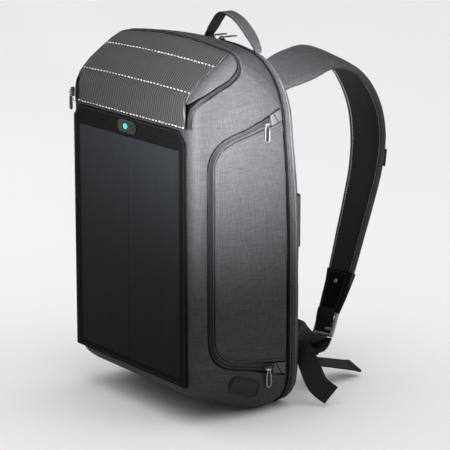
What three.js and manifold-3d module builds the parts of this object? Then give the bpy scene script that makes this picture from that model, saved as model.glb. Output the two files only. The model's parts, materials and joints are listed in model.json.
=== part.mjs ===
// A solar commuter backpack, built as separate pieces in millimetres with +Z up.
// The solar panel faces -Y, the wearer's side faces +Y, and +X is on the right from the front.
import * as THREE from "three";
import { mergeVertices } from "three/addons/utils/BufferGeometryUtils.js";
import Module from "manifold-3d";

const wasm = await Module();
wasm.setup();

// Driving dimensions. Depths are measured back from the panel's front face.
const FRAME_Y = -191.5; // moves the panel's front face so that the whole piece is centred on Y
const HALF_WIDTH = 146; // body, at the side walls
const WALL = 4; // padded fabric wall
const GAP = 0.4; // clearance between neighbouring pieces
const FRONT_Y = 3; // body's front face, behind the panel
const FRONT_ROUND = 15;
const BODY_BACK_Y = 156; // back seam
const ZIP_Y = [158.9, 163]; // laptop compartment's zip
const COVER_FRONT_Y = 163.4;
const COVER_BACK_Y = 178; // wearer's side of the laptop cover

const CELL_WIDTH = 240;
const CELL_BOTTOM = 62;
const CELL_TOP = 366;
const PANEL_HALF = 134;
const PANEL_BOTTOM = 53;
const PANEL_TOP = 393;
const PANEL_CHAMFER = 16;

const LID_HINGE_Z = 395;
const LID_BACK_Y = 77; // where the lid's zip crosses the top
const LID_FRONT_HALF = 133; // the lid's front edge, between its two upright zips
const RIB_HALF = 127; // ribbed middle of the lid
const ZIP_WIDTH = 6;

const STRAP_WIDTH = 70;
const STRAP_THICK = 13;
const STRAP_ROOT = new THREE.Vector3(75, 179, 0);
const WEBBING_WIDTH = 29;
const WEBBING_THICK = 2;

// The outer form, as values against depth: [depth, value].
const BOTTOM = [[3, 48], [7, 42], [18, 35], [49, 23], [90, 8], [118, 0], [200, 0]];
const TOP = [
  [3, 426], [10, 440], [28, 459], [46, 473], [62, 485], [77, 495], [95, 496], [125, 490], [157, 479], [178, 474],
];
const CROWN = [[3, 3], [77, 7], [157, 4]]; // how much lower the top is where its corner starts
const CORNER_X = [[3, 18], [60, 19], [77, 26], [157, 95]];
const CORNER_Z = [[3, 20], [60, 20], [77, 24], [157, 94]];
const TOP_HALF = [[3, 145], [77, 145], [157, 134], [178, 131]]; // half-width where the top corner starts
const BASE_CORNER = [[3, 35], [125, 35], [160, 50]]; // rounding of the long bottom edges
const TAPER_FROM_Z = 240;

// Value of a [place, value] table at a place, on straight lines between its rows.
function at(table, place) {
  const last = table.length - 1;
  if (place <= table[0][0]) return table[0][1];
  if (place >= table[last][0]) return table[last][1];
  const i = table.findIndex((row) => row[0] > place);
  const [a, va] = table[i - 1];
  const [b, vb] = table[i];
  return va + ((vb - va) * (place - a)) / (b - a);
}

// How far the form's sides draw in at the rounded front edge.
function frontInset(y) {
  const left = FRONT_ROUND - Math.min(Math.max(y - FRONT_Y, 0), FRONT_ROUND);
  return FRONT_ROUND - Math.sqrt(FRONT_ROUND ** 2 - left ** 2);
}

// One ring of the outer form at depth y, drawn in by inset: its right half runs up, its left half down.
function ring(y, inset, { topY = y, sideInset = 0 } = {}) {
  const half = HALF_WIDTH - inset - sideInset;
  const bottom = at(BOTTOM, y) + inset + (y > LID_BACK_Y ? sideInset : 0);
  const top = at(TOP, topY) - inset - (y > LID_BACK_Y ? sideInset : 0);
  const topHalf = at(TOP_HALF, y) - inset - sideInset;
  const rx = Math.max(at(CORNER_X, y) - inset, 6);
  const rz = Math.max(at(CORNER_Z, y) - inset, 6);
  const base = Math.max(at(BASE_CORNER, y) - inset, 8);
  const crown = at(CROWN, y);
  const right = [];
  const push = (x, z) => right.push(new THREE.Vector3(x, y, z));
  for (const part of [0.35, 0.7]) push((half - base) * part, bottom);
  for (let i = 0; i <= 4; i++) {
    const a = (i / 4) * (Math.PI / 2);
    push(half - base + base * Math.sin(a), bottom + base - base * Math.cos(a));
  }
  const cornerZ = top - crown - rz;
  for (const part of [0.35, 0.6, 0.8]) {
    const z = THREE.MathUtils.lerp(bottom + base, cornerZ, part);
    const taper = Math.max(z - TAPER_FROM_Z, 0) / (cornerZ - TAPER_FROM_Z);
    push(half - (half - topHalf) * taper ** 1.5, z);
  }
  for (let i = 0; i <= 6; i++) {
    const a = (i / 6) * (Math.PI / 2);
    push(topHalf - rx + rx * Math.cos(a), cornerZ + rz * Math.sin(a));
  }
  for (const part of [0.66, 0.33]) push((topHalf - rx) * part, top - crown * part ** 2);
  const left = right.map((p) => new THREE.Vector3(-p.x, p.y, p.z)).reverse();
  return [new THREE.Vector3(0, y, bottom), ...right, new THREE.Vector3(0, y, top), ...left];
}

// A closed surface through rings that run front to back, each counter-clockwise from the front.
function loft(rings) {
  const count = rings[0].length;
  const points = rings.flat();
  const faces = [];
  for (let r = 0; r + 1 < rings.length; r++) {
    for (let i = 0; i < count; i++) {
      const a = r * count + i;
      const b = r * count + ((i + 1) % count);
      faces.push(a, a + count, b, b, a + count, b + count);
    }
  }
  for (const [r, order] of [[0, 1], [rings.length - 1, -1]]) {
    const middle = rings[r].reduce((sum, p) => sum.add(p), new THREE.Vector3()).divideScalar(count);
    const centre = points.push(middle) - 1;
    for (let i = 0; i < count; i++) {
      const a = r * count + i;
      const b = r * count + ((i + 1) % count);
      faces.push(...(order > 0 ? [centre, a, b] : [centre, b, a]));
    }
  }
  const geometry = new THREE.BufferGeometry().setFromPoints(points);
  geometry.setIndex(faces);
  return geometry;
}

// A three.js geometry as a manifold solid, and back.
function solid(geometry) {
  const g = geometry.clone();
  for (const name of ["normal", "uv"]) g.deleteAttribute(name);
  const merged = mergeVertices(g, 1e-4);
  return new wasm.Manifold(
    new wasm.Mesh({
      numProp: 3,
      vertProperties: new Float32Array(merged.attributes.position.array),
      triVerts: new Uint32Array(merged.index.array),
    }),
  );
}

function geometryOf(manifold) {
  const mesh = manifold.getMesh();
  const geometry = new THREE.BufferGeometry();
  geometry.setAttribute("position", new THREE.BufferAttribute(mesh.vertProperties, mesh.numProp));
  geometry.setIndex(new THREE.BufferAttribute(mesh.triVerts, 1));
  const flat = geometry.toNonIndexed();
  flat.computeVertexNormals();
  return flat;
}

const shapeOf = (points) => new THREE.Shape(points.map(([u, v]) => new THREE.Vector2(u, v)));

// Extrusions: along X from an outline in (y, z), and along Y from an outline in (x, z).
const ALONG_X = new THREE.Matrix4().makeBasis(
  new THREE.Vector3(0, 1, 0),
  new THREE.Vector3(0, 0, 1),
  new THREE.Vector3(1, 0, 0),
);
const ALONG_Y = new THREE.Matrix4().makeBasis(
  new THREE.Vector3(1, 0, 0),
  new THREE.Vector3(0, 0, 1),
  new THREE.Vector3(0, -1, 0),
);

function extrude(shape, depth, options = {}) {
  return new THREE.ExtrudeGeometry(shape, { depth, bevelEnabled: false, curveSegments: 6, ...options });
}

function prismX(shape, x0, x1) {
  return extrude(shape, x1 - x0).applyMatrix4(ALONG_X).translate(x0, 0, 0);
}

function prismY(shape, y0, y1) {
  return extrude(shape, y1 - y0).applyMatrix4(ALONG_Y).translate(0, y1, 0);
}

function box(x0, y0, z0, x1, y1, z1) {
  return new THREE.BoxGeometry(x1 - x0, y1 - y0, z1 - z0).translate((x0 + x1) / 2, (y0 + y1) / 2, (z0 + z1) / 2);
}

// A rectangle with round corners, as a shape in its own plane.
function roundedRect(u0, v0, u1, v1, r) {
  const s = new THREE.Shape();
  s.moveTo(u0 + r, v0);
  s.lineTo(u1 - r, v0);
  s.absarc(u1 - r, v0 + r, r, -Math.PI / 2, 0);
  s.lineTo(u1, v1 - r);
  s.absarc(u1 - r, v1 - r, r, 0, Math.PI / 2);
  s.lineTo(u0 + r, v1);
  s.absarc(u0 + r, v1 - r, r, Math.PI / 2, Math.PI);
  s.lineTo(u0, v0 + r);
  s.absarc(u0 + r, v0 + r, r, Math.PI, 1.5 * Math.PI);
  return s;
}

// A pad: an outline in (x, z) with soft edges, from y0 back to y1.
function pad(shape, y0, y1, soft) {
  const geometry = extrude(shape, y1 - y0 - 2 * soft, {
    bevelEnabled: true,
    bevelThickness: soft,
    bevelSize: soft,
    bevelOffset: -soft,
    bevelSegments: 1,
    curveSegments: 4,
  });
  return geometry.applyMatrix4(ALONG_Y).translate(0, y1 - soft, 0);
}

// A flat band along a curve: widthAt(t) gives the direction across it and its width at each step.
function band(curve, widthAt, thick, steps) {
  const edge = thick * 0.28;
  const rings = [];
  for (let i = 0; i <= steps; i++) {
    const t = i / steps;
    const centre = curve.getPoint(t);
    const tangent = curve.getTangent(t);
    const { across, width } = widthAt(t);
    const side = across.clone().addScaledVector(tangent, -across.dot(tangent)).normalize();
    const up = new THREE.Vector3().crossVectors(side, tangent).normalize();
    const w = width / 2;
    const h = thick / 2;
    const section = [[-w, -h + edge], [-w + edge, -h], [w - edge, -h], [w, -h + edge]];
    const both = [...section, ...section.map(([u, v]) => [-u, -v])];
    rings.push(both.map(([u, v]) => centre.clone().addScaledVector(side, u).addScaledVector(up, v)));
  }
  return loft(rings);
}

// Depths at which the form is cut into rings.
const BODY_DEPTHS = [3, 4, 7, 12, 18, 28, 37, 46, 54, 62, 70, 77, 86, 100, 115, 130, 143, 156];
const CAVITY_DEPTHS = [7, 9, 13, 20, 30, 46, 62, 77, 90, 110, 130, 146, 160];

const outerForm = (inset) =>
  solid(loft(BODY_DEPTHS.map((y) => ring(y, inset, { sideInset: frontInset(y) }))));
const cavity = solid(
  loft(CAVITY_DEPTHS.map((y) => ring(y, WALL, { topY: y - 3, sideInset: frontInset(y - WALL) }))),
);

// A slab of the form between two depths, drawn in by inset.
const slab = (y0, y1, inset) => solid(loft([ring(y0, inset), ring(y1, inset)]));

// Half-width of the outer form at a depth and a height on its side.
function sideX(y, z) {
  const right = ring(y, 0, { sideInset: frontInset(y) }).filter((p) => p.x > 0);
  const i = right.findIndex((p, k) => k > 0 && p.z > z && right[k - 1].z <= z);
  return THREE.MathUtils.mapLinear(z, right[i - 1].z, right[i].z, right[i - 1].x, right[i].x);
}

// The side seam of the lid, seen from the side, moved by shift across its own line.
function lidRegion(shift) {
  const seam = [[-30, 421], [0, 421], [15, 434], [38, 445], [62, 455], [LID_BACK_Y - 4, 466], [LID_BACK_Y, 474]];
  const lowered = seam.map(([y, z], i) => [y + (i > 4 ? shift : shift * 0.4), z - shift]);
  const outline = [...lowered, [LID_BACK_Y + shift, 540], [-30, 540]];
  const above = solid(prismX(shapeOf(outline), -200, 200));
  const half = LID_FRONT_HALF + shift;
  return above.add(solid(box(-half, -30, LID_HINGE_Z + GAP, half, FRONT_Y + WALL + 1, 424)));
}

const materials = {};
function material(name, color, roughness, metalness = 0) {
  materials[name] = new THREE.MeshStandardMaterial({ color, roughness, metalness, side: THREE.FrontSide });
}
material("coated_fabric", 0x4b4a50, 0.55);
material("ribbed_fabric", 0x59595d, 0.75);
material("black_fabric", 0x141416, 0.8);
material("mesh_fabric", 0x222226, 0.9);
material("webbing", 0x2c2c30, 0.85);
material("lining", 0x35353a, 0.9);
material("solar_cell", 0x0c0f18, 0.25);
material("black_plastic", 0x0d0d0f, 0.45);
material("rubber", 0x111113, 0.7);
material("zip_metal", 0x55565a, 0.35, 1);
material("buckle_plastic", 0x8e8f92, 0.5);
material("led", 0x18c8c0, 0.3);
material("foam_board", 0x2a2a2e, 0.9);

const bag = new THREE.Group();
bag.position.y = FRAME_Y;

function add(name, geometry, slot) {
  const mesh = new THREE.Mesh(geometry, materials[slot]);
  mesh.name = name;
  bag.add(mesh);
  return mesh;
}

// Adds a solid as one piece, without the slivers that a cut can leave beside it.
function addSolid(name, manifold, slot) {
  const [whole] = manifold.decompose().sort((a, b) => b.volume() - a.volume());
  return add(name, geometryOf(whole), slot);
}

// --- Side pockets: a zipped door on each side, hinged along the back seam ---
const DOOR = { frontY: 38, hingeY: 153, bottomFront: 77, bottomBack: 67, topFront: 376, topBack: 392, corner: 26 };

// The door's outline in (y, z), grown by grow on all edges but the hinge, which is moved back by beyond.
function doorShape(grow, beyond) {
  const { frontY, hingeY, bottomFront, bottomBack, topFront, topBack, corner } = DOOR;
  const f = frontY - grow;
  const r = corner + grow;
  const turnY = f + r * 1.6;
  const top = [topFront + grow, topBack + grow * 1.55];
  const bottom = [bottomFront - grow, bottomBack - grow * 1.8];
  const past = ([front, back]) => back + ((back - front) * beyond) / (hingeY - turnY);
  const s = new THREE.Shape();
  s.moveTo(hingeY + beyond, past(bottom));
  s.lineTo(hingeY + beyond, past(top));
  s.lineTo(turnY, top[0]);
  s.quadraticCurveTo(f + 2, top[0] - 8, f, top[0] - r - 8);
  s.lineTo(f, bottom[0] + r + 8);
  s.quadraticCurveTo(f + 2, bottom[0] + 6, turnY, bottom[0]);
  return s;
}
const ZIP_GROW = 11;

// The same cutter for both sides, from x0 outwards: [right, left].
function doorCutters(grow, beyond, x0) {
  const shape = doorShape(grow, beyond);
  return [solid(prismX(shape, x0, 170)), solid(prismX(shape, -170, -x0))];
}

// --- Body ---
const form = outerForm(0);
let bodyShell = form.subtract(cavity).subtract(lidRegion(ZIP_WIDTH));
for (const cut of doorCutters(ZIP_GROW, GAP, 120)) bodyShell = bodyShell.subtract(cut);
const USB = { y: 85, z: 43, width: 50, height: 25, tilt: THREE.MathUtils.degToRad(-20) };
const usbFrame = new THREE.Matrix4()
  .makeTranslation(0, USB.y, USB.z)
  .multiply(new THREE.Matrix4().makeRotationX(USB.tilt));
const PORT = { half: 15, halfHeight: 7.5, depth: 10 };
const usbHole = box(120, -PORT.half, -PORT.halfHeight, 160, PORT.half, PORT.halfHeight);
bodyShell = bodyShell.subtract(solid(usbHole.applyMatrix4(usbFrame)));
addSolid("body_shell", bodyShell, "coated_fabric");

// --- Lid: ribbed middle, smooth sides, and the zip around it ---
const lidShell = form.subtract(cavity).intersect(lidRegion(0));
const middle = solid(box(-RIB_HALF, -40, 380, RIB_HALF, 120, 560));
addSolid("lid_panel", lidShell.intersect(middle), "ribbed_fabric");
for (const [name, x0, x1] of [["lid_side_right", RIB_HALF + GAP, 200], ["lid_side_left", -200, -RIB_HALF - GAP]]) {
  addSolid(name, lidShell.intersect(solid(box(x0, -40, 380, x1, 120, 560))), "coated_fabric");
}
const zipSkin = outerForm(0.9).subtract(outerForm(2.6));
const lidZip = zipSkin.intersect(lidRegion(ZIP_WIDTH - GAP)).subtract(lidRegion(GAP));
addSolid("lid_zip_tape", lidZip, "black_fabric");

// --- Side doors, their zips and their pocket liners ---
const wall = form.subtract(cavity);
const tapes = doorCutters(ZIP_GROW - GAP, 0, 120);
const holes = doorCutters(3 * GAP, 30, 110);
const doors = doorCutters(0, 0, 120);
const tray = solid(box(108, 46, 92, 130, 147, 362)).subtract(solid(box(109.6, 47.6, 93.6, 140, 145.4, 360.4)));
const trays = [tray, tray.mirror([1, 0, 0])];
["right", "left"].forEach((side, i) => {
  addSolid("side_zip_tape_" + side, zipSkin.intersect(tapes[i]).subtract(holes[i]), "black_fabric");
  addSolid("side_door_" + side, wall.intersect(doors[i]), "coated_fabric");
  addSolid("side_pocket_" + side, trays[i], "lining");
});

// --- Solar panel on the front ---
const panelOutline = shapeOf([
  [-PANEL_HALF, PANEL_BOTTOM],
  [PANEL_HALF, PANEL_BOTTOM],
  [PANEL_HALF, PANEL_TOP - PANEL_CHAMFER],
  [PANEL_HALF - PANEL_CHAMFER, PANEL_TOP],
  [PANEL_CHAMFER - PANEL_HALF, PANEL_TOP],
  [-PANEL_HALF, PANEL_TOP - PANEL_CHAMFER],
]);
const cellHalf = CELL_WIDTH / 2;
const POD = { x: 0, z: 380, half: 22, height: 17 };
const podShape = (grow) => roundedRect(
  POD.x - POD.half - grow, POD.z - POD.height / 2 - grow,
  POD.x + POD.half + grow, POD.z + POD.height / 2 + grow, POD.height / 2 + grow - 0.01,
);
const frame = solid(prismY(panelOutline, 0, FRONT_Y - GAP))
  .subtract(solid(box(-cellHalf - GAP, -1, CELL_BOTTOM - GAP, cellHalf + GAP, 9, CELL_TOP + GAP)))
  .subtract(solid(prismY(podShape(GAP), -5, 9)));
addSolid("panel_border", frame, "black_fabric");
add("solar_cell_right", box(GAP, 0.3, CELL_BOTTOM, cellHalf, FRONT_Y - GAP, CELL_TOP), "solar_cell");
add("solar_cell_left", box(-cellHalf, 0.3, CELL_BOTTOM, -GAP, FRONT_Y - GAP, CELL_TOP), "solar_cell");
add("panel_stiffener", box(-112, 7.4, 70, 112, 9, 330), "foam_board");

// --- Control pod: bezel, light and push button ---
const BUTTON = { x: 13, r: 4.5, travel: 0.8 };
const LIGHT = { x: -3, r: 3 };
const disc = (x, z, r, y0, y1) => new THREE.CylinderGeometry(r, r, y1 - y0, 24).translate(x, (y0 + y1) / 2, z);
const bezel = solid(prismY(podShape(0), -1.4, FRONT_Y - GAP))
  .subtract(solid(disc(BUTTON.x, POD.z, BUTTON.r + GAP, -3, 1.6)))
  .subtract(solid(disc(LIGHT.x, POD.z, LIGHT.r + GAP, -3, 1.6)));
addSolid("control_pod", bezel, "black_plastic");
add("power_button", disc(BUTTON.x, POD.z, BUTTON.r, -2, 0.7), "rubber");
add("status_light", disc(LIGHT.x, POD.z, LIGHT.r, -1.7, 1.5), "led");
add("charge_controller", box(-32, 10, 340, 32, 19, 376), "black_plastic");
add("power_bank", pad(roundedRect(28, 72, 98, 214, 8), 10, 26, 2), "black_plastic");

// --- USB port with its rubber cover, and the lead to it ---
const portX = sideX(USB.y, USB.z - PORT.halfHeight) - 2 * GAP;
const port = box(
  portX - PORT.depth, GAP - PORT.half, GAP - PORT.halfHeight, portX, PORT.half - GAP, PORT.halfHeight - GAP,
);
const SOCKETS = [[-11.5, -2.8, 1.7, 2.8], [5, -1.7, 12, 1.7]]; // type A and type C
let portBody = solid(port);
for (const [y0, z0, y1, z1] of SOCKETS) portBody = portBody.subtract(solid(box(portX - 8, y0, z0, 160, y1, z1)));
add("usb_port", geometryOf(portBody).applyMatrix4(usbFrame), "black_plastic");
const flapShape = roundedRect(-USB.width / 2, -USB.height / 2, USB.width / 2, USB.height / 2, USB.height * 0.46);
const flapCut = solid(prismX(flapShape, 120, 170).applyMatrix4(usbFrame));
addSolid("usb_cover", outerForm(-GAP - 2.2).subtract(outerForm(-GAP)).intersect(flapCut), "rubber");
const LEAD = [
  [33, 14.5, 346], [60, 14.5, 334], [104, 15, 306], [117, 18, 260], [118, 20, 160], [119, 24, 96],
  [122, 45, 62], [125, 70, 48], [130, 84, USB.z], [portX - PORT.depth - 2 * GAP, USB.y, USB.z],
];
const leadCurve = new THREE.CatmullRomCurve3(LEAD.map((p) => new THREE.Vector3(...p)), false, "centripetal");
const leadSection = shapeOf([...Array(8).keys()].map((i) => [2 * Math.cos(i * Math.PI / 4), 2 * Math.sin(i * Math.PI / 4)]));
add("usb_lead", extrude(leadSection, 1, { steps: 36, extrudePath: leadCurve }), "black_plastic");

// --- Laptop compartment: divider, seam, zip, and the cover that swings back ---
add("laptop_divider", loft([ring(149, WALL + 1), ring(152, WALL + 1)]), "lining");
const belowFloor = solid(box(-200, 100, -20, 200, 200, 0.6));
addSolid("back_piping", slab(156.4, 158.5, -1).subtract(slab(156, 159, 3.5)).subtract(belowFloor), "black_fabric");
addSolid("laptop_zip_tape", slab(...ZIP_Y, 1.2).subtract(slab(ZIP_Y[0] - 1, ZIP_Y[1] + 1, 4)), "black_fabric");
const COVER_RINGS = [[COVER_FRONT_Y, 0], [168, 0], [172, 0.7], [175, 2.2], [177, 4.6], [COVER_BACK_Y, 8]];
const coverOuter = solid(loft(COVER_RINGS.map(([y, inset]) => ring(y, inset))));
addSolid("laptop_cover", coverOuter.subtract(slab(160, COVER_BACK_Y - WALL, WALL)), "coated_fabric");

const PAD = { x0: 14, x1: 106, z0: 66, z1: 424, r: 26, thick: 11 };
for (const [name, x0, x1] of [["back_pad_right", PAD.x0, PAD.x1], ["back_pad_left", -PAD.x1, -PAD.x0]]) {
  const y0 = COVER_BACK_Y + GAP;
  add(name, pad(roundedRect(x0, PAD.z0, x1, PAD.z1, PAD.r), y0, y0 + PAD.thick, 3), "mesh_fabric");
}
const bandRoute = [
  [-128, 0], [-124, 12], [-114, 18], [-60, 18.6], [0, 18.6], [60, 18.6], [114, 18], [124, 12], [128, 0],
];
const bandCurve = new THREE.CatmullRomCurve3(
  bandRoute.map(([x, y]) => new THREE.Vector3(x, COVER_BACK_Y + 1.2 + y, 250)), false, "centripetal",
);
const upward = { across: new THREE.Vector3(0, 0, 1), width: 70 };
add("luggage_band", band(bandCurve, () => upward, 1.6, 24), "webbing");

// --- Carry handle ---
const HANDLE = { y: 169, footZ: 476, half: 58, rise: 40, width: 18, footWidth: 10, thick: 3.5 };
const handleRoute = [
  [-1, 0], [-0.8, 0.33], [-0.6, 0.66], [-0.42, 0.91], [-0.22, 1], [0, 0.97], [0.24, 0.87], [0.5, 0.66], [0.8, 0.32], [1, 0],
];
const handleCurve = new THREE.CatmullRomCurve3(
  handleRoute.map(([x, z]) => new THREE.Vector3(x * HANDLE.half, HANDLE.y, HANDLE.footZ + z * HANDLE.rise)),
  false, "centripetal",
);
const handleWidth = [[0, HANDLE.footWidth], [0.1, HANDLE.width], [0.9, HANDLE.width], [1, HANDLE.footWidth]];
const backward = (t) => ({ across: new THREE.Vector3(0, 1, 0), width: at(handleWidth, t) });
add("carry_handle", band(handleCurve, backward, HANDLE.thick, 20), "webbing");

// --- Zip sliders and pulls ---
// In a slider's own frame X runs along the zip, Y across it and Z out of the cloth; its pull hangs from the bridge.
const SLIDER = { length: 13, width: 6.4, height: 3.2, bridge: 2.4 };
const PULL = { length: 25, width: 8, thick: 1.4, neck: 5 };

function sliderSolid() {
  const { length, width, height, bridge } = SLIDER;
  const body = solid(extrude(roundedRect(-length / 2, -width / 2, length / 2, width / 2, 2), height));
  return body.add(solid(box(-3, -1.2, height - 0.5, 3, 1.2, height + bridge - PULL.thick - 0.6)));
}
// A pull from its hinge at the origin, hanging down -Y, with Z out of the cloth.
function pullSolid() {
  const { length, width, thick, neck } = PULL;
  const s = new THREE.Shape();
  s.moveTo(-neck / 2, 0.4);
  s.lineTo(-neck / 2, -4);
  s.lineTo(-width / 2, -8);
  s.lineTo(-width / 2, width / 2 - length);
  s.absarc(0, width / 2 - length, width / 2, Math.PI, 2 * Math.PI);
  s.lineTo(width / 2, -8);
  s.lineTo(neck / 2, -4);
  s.lineTo(neck / 2, 0.4);
  return solid(extrude(s, thick, { curveSegments: 5 }));
}
// Adds a slider at place, along the zip's direction, and its pull hanging along hang; out points away from the cloth.
function addZip(name, place, along, out, hang) {
  const across = new THREE.Vector3().crossVectors(out, along).normalize();
  const off = new THREE.Vector3().crossVectors(along, across);
  const sliderFrame = new THREE.Matrix4().makeBasis(along, across, off).setPosition(place);
  add(name + "_slider", geometryOf(sliderSolid()).applyMatrix4(sliderFrame), "zip_metal");
  const top = hang.clone().negate();
  const beside = new THREE.Vector3().crossVectors(top, out);
  const hinge = place.clone().addScaledVector(out, SLIDER.height + SLIDER.bridge - PULL.thick - 0.2);
  const pullFrame = new THREE.Matrix4().makeBasis(beside, top, out).setPosition(hinge);
  add(name + "_pull", geometryOf(pullSolid()).applyMatrix4(pullFrame), "zip_metal");
}
const v3 = (x, y, z) => new THREE.Vector3(x, y, z);
const DOWN = v3(0, 0, -1);
addZip("lid", v3(-137, 2.4, 407), v3(0, 0, 1), v3(0, -1, 0), DOWN);
const LAPTOP_ZIP = v3(0, COVER_FRONT_Y - 1.3, at(TOP, COVER_FRONT_Y) + GAP);
for (const [name, x] of [["laptop_right", -14], ["laptop_left", -37]]) {
  addZip(name, v3(x, LAPTOP_ZIP.y, LAPTOP_ZIP.z), v3(1, 0, 0), v3(0, 0, 1), v3(0, 1, 0));
}
const SIDE_ZIP = [
  ["upper", 122, 392.5, (DOOR.topBack - DOOR.topFront) / (DOOR.hingeY - 80)],
  ["lower", 122, 62.5, (DOOR.bottomBack - DOOR.bottomFront) / (DOOR.hingeY - 80)],
];
const ZIP_RUN = 30; // length of side zip that a slider's direction is taken from
for (const [side, word] of [[1, "right"], [-1, "left"]]) {
  for (const [level, y, z, slope] of SIDE_ZIP) {
    const onZip = (back) => v3(side * (sideX(y - back, z - back * slope) + GAP), y - back, z - back * slope);
    const place = onZip(0);
    addZip(`${level}_${word}`, place, place.clone().sub(onZip(ZIP_RUN)).normalize(), v3(side, 0, 0), DOWN);
  }
}

// --- Shoulder straps ---
// Each padded strap lies in an upright plane through its root; route rows are [distance back, height], and the
// other rows are [x, y, z] for the strap's own side. swing is the plane's turn about the root, inward positive.
const STRAPS = {
  right: {
    side: 1,
    swing: 10,
    route: [
      [10, 439], [22, 443], [56, 451], [90, 457], [118, 452], [146, 437], [172, 410], [192, 372], [199, 330],
      [194, 286], [180, 240], [164, 195], [150, 155], [140, 128],
    ],
    patch: [[139.4, 126.8], [129, 109], [121, 95]],
    buckle: [[119.8, 92.6], [109, 61]],
    webbing: [[57, 283, 58], [74, 258, 64], [92, 228, 81], [112, 204, 95], [127, 186.5, 106]],
    webbingAcross: [[0.95, 0.3, 0], [0.2, 0.3, 0.93]],
    tail: [[57, 281, 52], [70, 263, 50], [84, 241, 52], [90, 233, 46], [86, 246, 37], [80, 272, 29], [70, 332, 11]],
    tailAcross: [[0.95, 0.3, 0], [0.94, 0.05, -0.33]],
  },
  left: {
    side: -1,
    swing: -18,
    route: [
      [10, 439], [22, 440], [40, 433], [66, 418], [98, 384], [124, 342], [140, 294], [148, 244], [147, 194],
      [138, 148], [124, 114], [106, 87], [78, 66],
    ],
    patch: [[77.4, 65.6], [67, 59], [57, 53.4]],
    buckle: [[55, 52.4], [26, 37]],
    webbing: [[83, 198, 34], [90, 196.5, 39], [98, 197, 56], [112, 197, 80], [127, 187, 110]],
    webbingAcross: [[0.95, -0.3, 0], [0.86, 0, -0.5]],
    tail: [[84, 206, 29], [86, 211, 17], [92, 226, 6], [104, 252, 3], [118, 285, 3]],
    tailAcross: [[0.95, -0.3, 0], [0.9, 0.4, 0]],
  },
};
const BELT = { route: [[131, 184, 75], [140, 188, 71], [150, 190, 56], [159, 198, 30], [167, 214, 14]] };
BELT.across = [[0, 0.1, 1], [0.2, 0.6, 0.78]];
const STRAP_TILT = [[0, 24], [0.12, 25], [0.22, 19], [0.32, 14], [0.5, 6], [0.7, 0], [1, 0]]; // degrees the outer edge hangs
const STRAP_TAPER = [[0, 56], [0.15, STRAP_WIDTH], [0.6, 64], [0.85, 50], [1, 42]];
const PATCH_TAPER = [[0, 41], [1, 32]];
const BUCKLE_WIDTH = 36;

for (const [word, strap] of Object.entries(STRAPS)) {
  const turn = THREE.MathUtils.degToRad(strap.swing);
  const inPlane = ([distance, z]) => v3(
    strap.side * (STRAP_ROOT.x - distance * Math.sin(turn)), STRAP_ROOT.y + distance * Math.cos(turn), z,
  );
  const curveOf = (points) => new THREE.CatmullRomCurve3(points, false, "centripetal");
  const flat = v3(strap.side * Math.cos(turn), Math.sin(turn), 0);
  const tilted = (t) => {
    const tilt = THREE.MathUtils.degToRad(at(STRAP_TILT, t));
    return flat.clone().multiplyScalar(Math.cos(tilt)).add(v3(0, 0, -Math.sin(tilt))).multiplyScalar(strap.side);
  };
  const level = flat.clone().multiplyScalar(strap.side);
  const padCurve = curveOf(strap.route.map(inPlane));
  const padAt = (t) => ({ across: tilted(t), width: at(STRAP_TAPER, t) });
  add("strap_pad_" + word, band(padCurve, padAt, STRAP_THICK, 30), "mesh_fabric");
  const patchAt = (t) => ({ across: level, width: at(PATCH_TAPER, t) });
  add("strap_end_" + word, band(curveOf(strap.patch.map(inPlane)), patchAt, 7, 4), "black_fabric");
  const buckleAt = () => ({ across: level, width: BUCKLE_WIDTH });
  add("ladder_lock_" + word, band(curveOf(strap.buckle.map(inPlane)), buckleAt, 6, 1), "buckle_plastic");

  const mirrored = ([x, y, z]) => v3(strap.side * x, y, z);
  const webbing = (name, points, [start, end], steps) => {
    const [from, to] = [mirrored(start), mirrored(end)];
    const acrossAt = (t) => ({ across: from.clone().lerp(to, t).multiplyScalar(strap.side), width: WEBBING_WIDTH });
    add(name, band(curveOf(points.map(mirrored)), acrossAt, WEBBING_THICK, steps), "webbing");
  };
  webbing("lower_webbing_" + word, strap.webbing, strap.webbingAcross, 12);
  webbing("webbing_tail_" + word, strap.tail, strap.tailAcross, 18);
  webbing("belt_webbing_" + word, BELT.route, BELT.across, 12);
}

export default bag;
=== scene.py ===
"""A commuter backpack with a solar panel: fabric skins, seams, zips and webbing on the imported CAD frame.

Lengths are in millimetres, which at() turns into metres. Depths are measured back from the panel's front face.
"""
import json
import math

import bmesh
import bpy
import numpy as np
from mathutils import Matrix, Vector, noise
from mathutils.bvhtree import BVHTree


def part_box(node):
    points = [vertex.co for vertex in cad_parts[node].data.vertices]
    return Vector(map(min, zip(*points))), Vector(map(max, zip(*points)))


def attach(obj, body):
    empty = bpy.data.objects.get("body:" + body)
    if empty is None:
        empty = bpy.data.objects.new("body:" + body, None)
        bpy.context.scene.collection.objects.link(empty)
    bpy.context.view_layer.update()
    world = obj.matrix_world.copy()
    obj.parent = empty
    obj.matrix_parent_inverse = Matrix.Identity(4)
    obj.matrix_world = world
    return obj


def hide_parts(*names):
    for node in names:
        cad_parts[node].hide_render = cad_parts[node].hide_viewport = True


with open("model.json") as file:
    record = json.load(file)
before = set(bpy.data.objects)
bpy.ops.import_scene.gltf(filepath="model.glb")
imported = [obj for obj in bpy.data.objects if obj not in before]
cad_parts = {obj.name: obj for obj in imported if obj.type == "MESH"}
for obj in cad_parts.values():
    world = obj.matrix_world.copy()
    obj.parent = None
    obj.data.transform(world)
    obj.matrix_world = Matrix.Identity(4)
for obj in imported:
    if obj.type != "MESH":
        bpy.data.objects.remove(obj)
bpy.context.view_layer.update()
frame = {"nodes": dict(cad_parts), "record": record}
NODES = frame["nodes"]
scene = bpy.context.scene

MM = 0.001
PANEL_FACE_Y = -191.5  # the panel's front face in the frame


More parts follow.
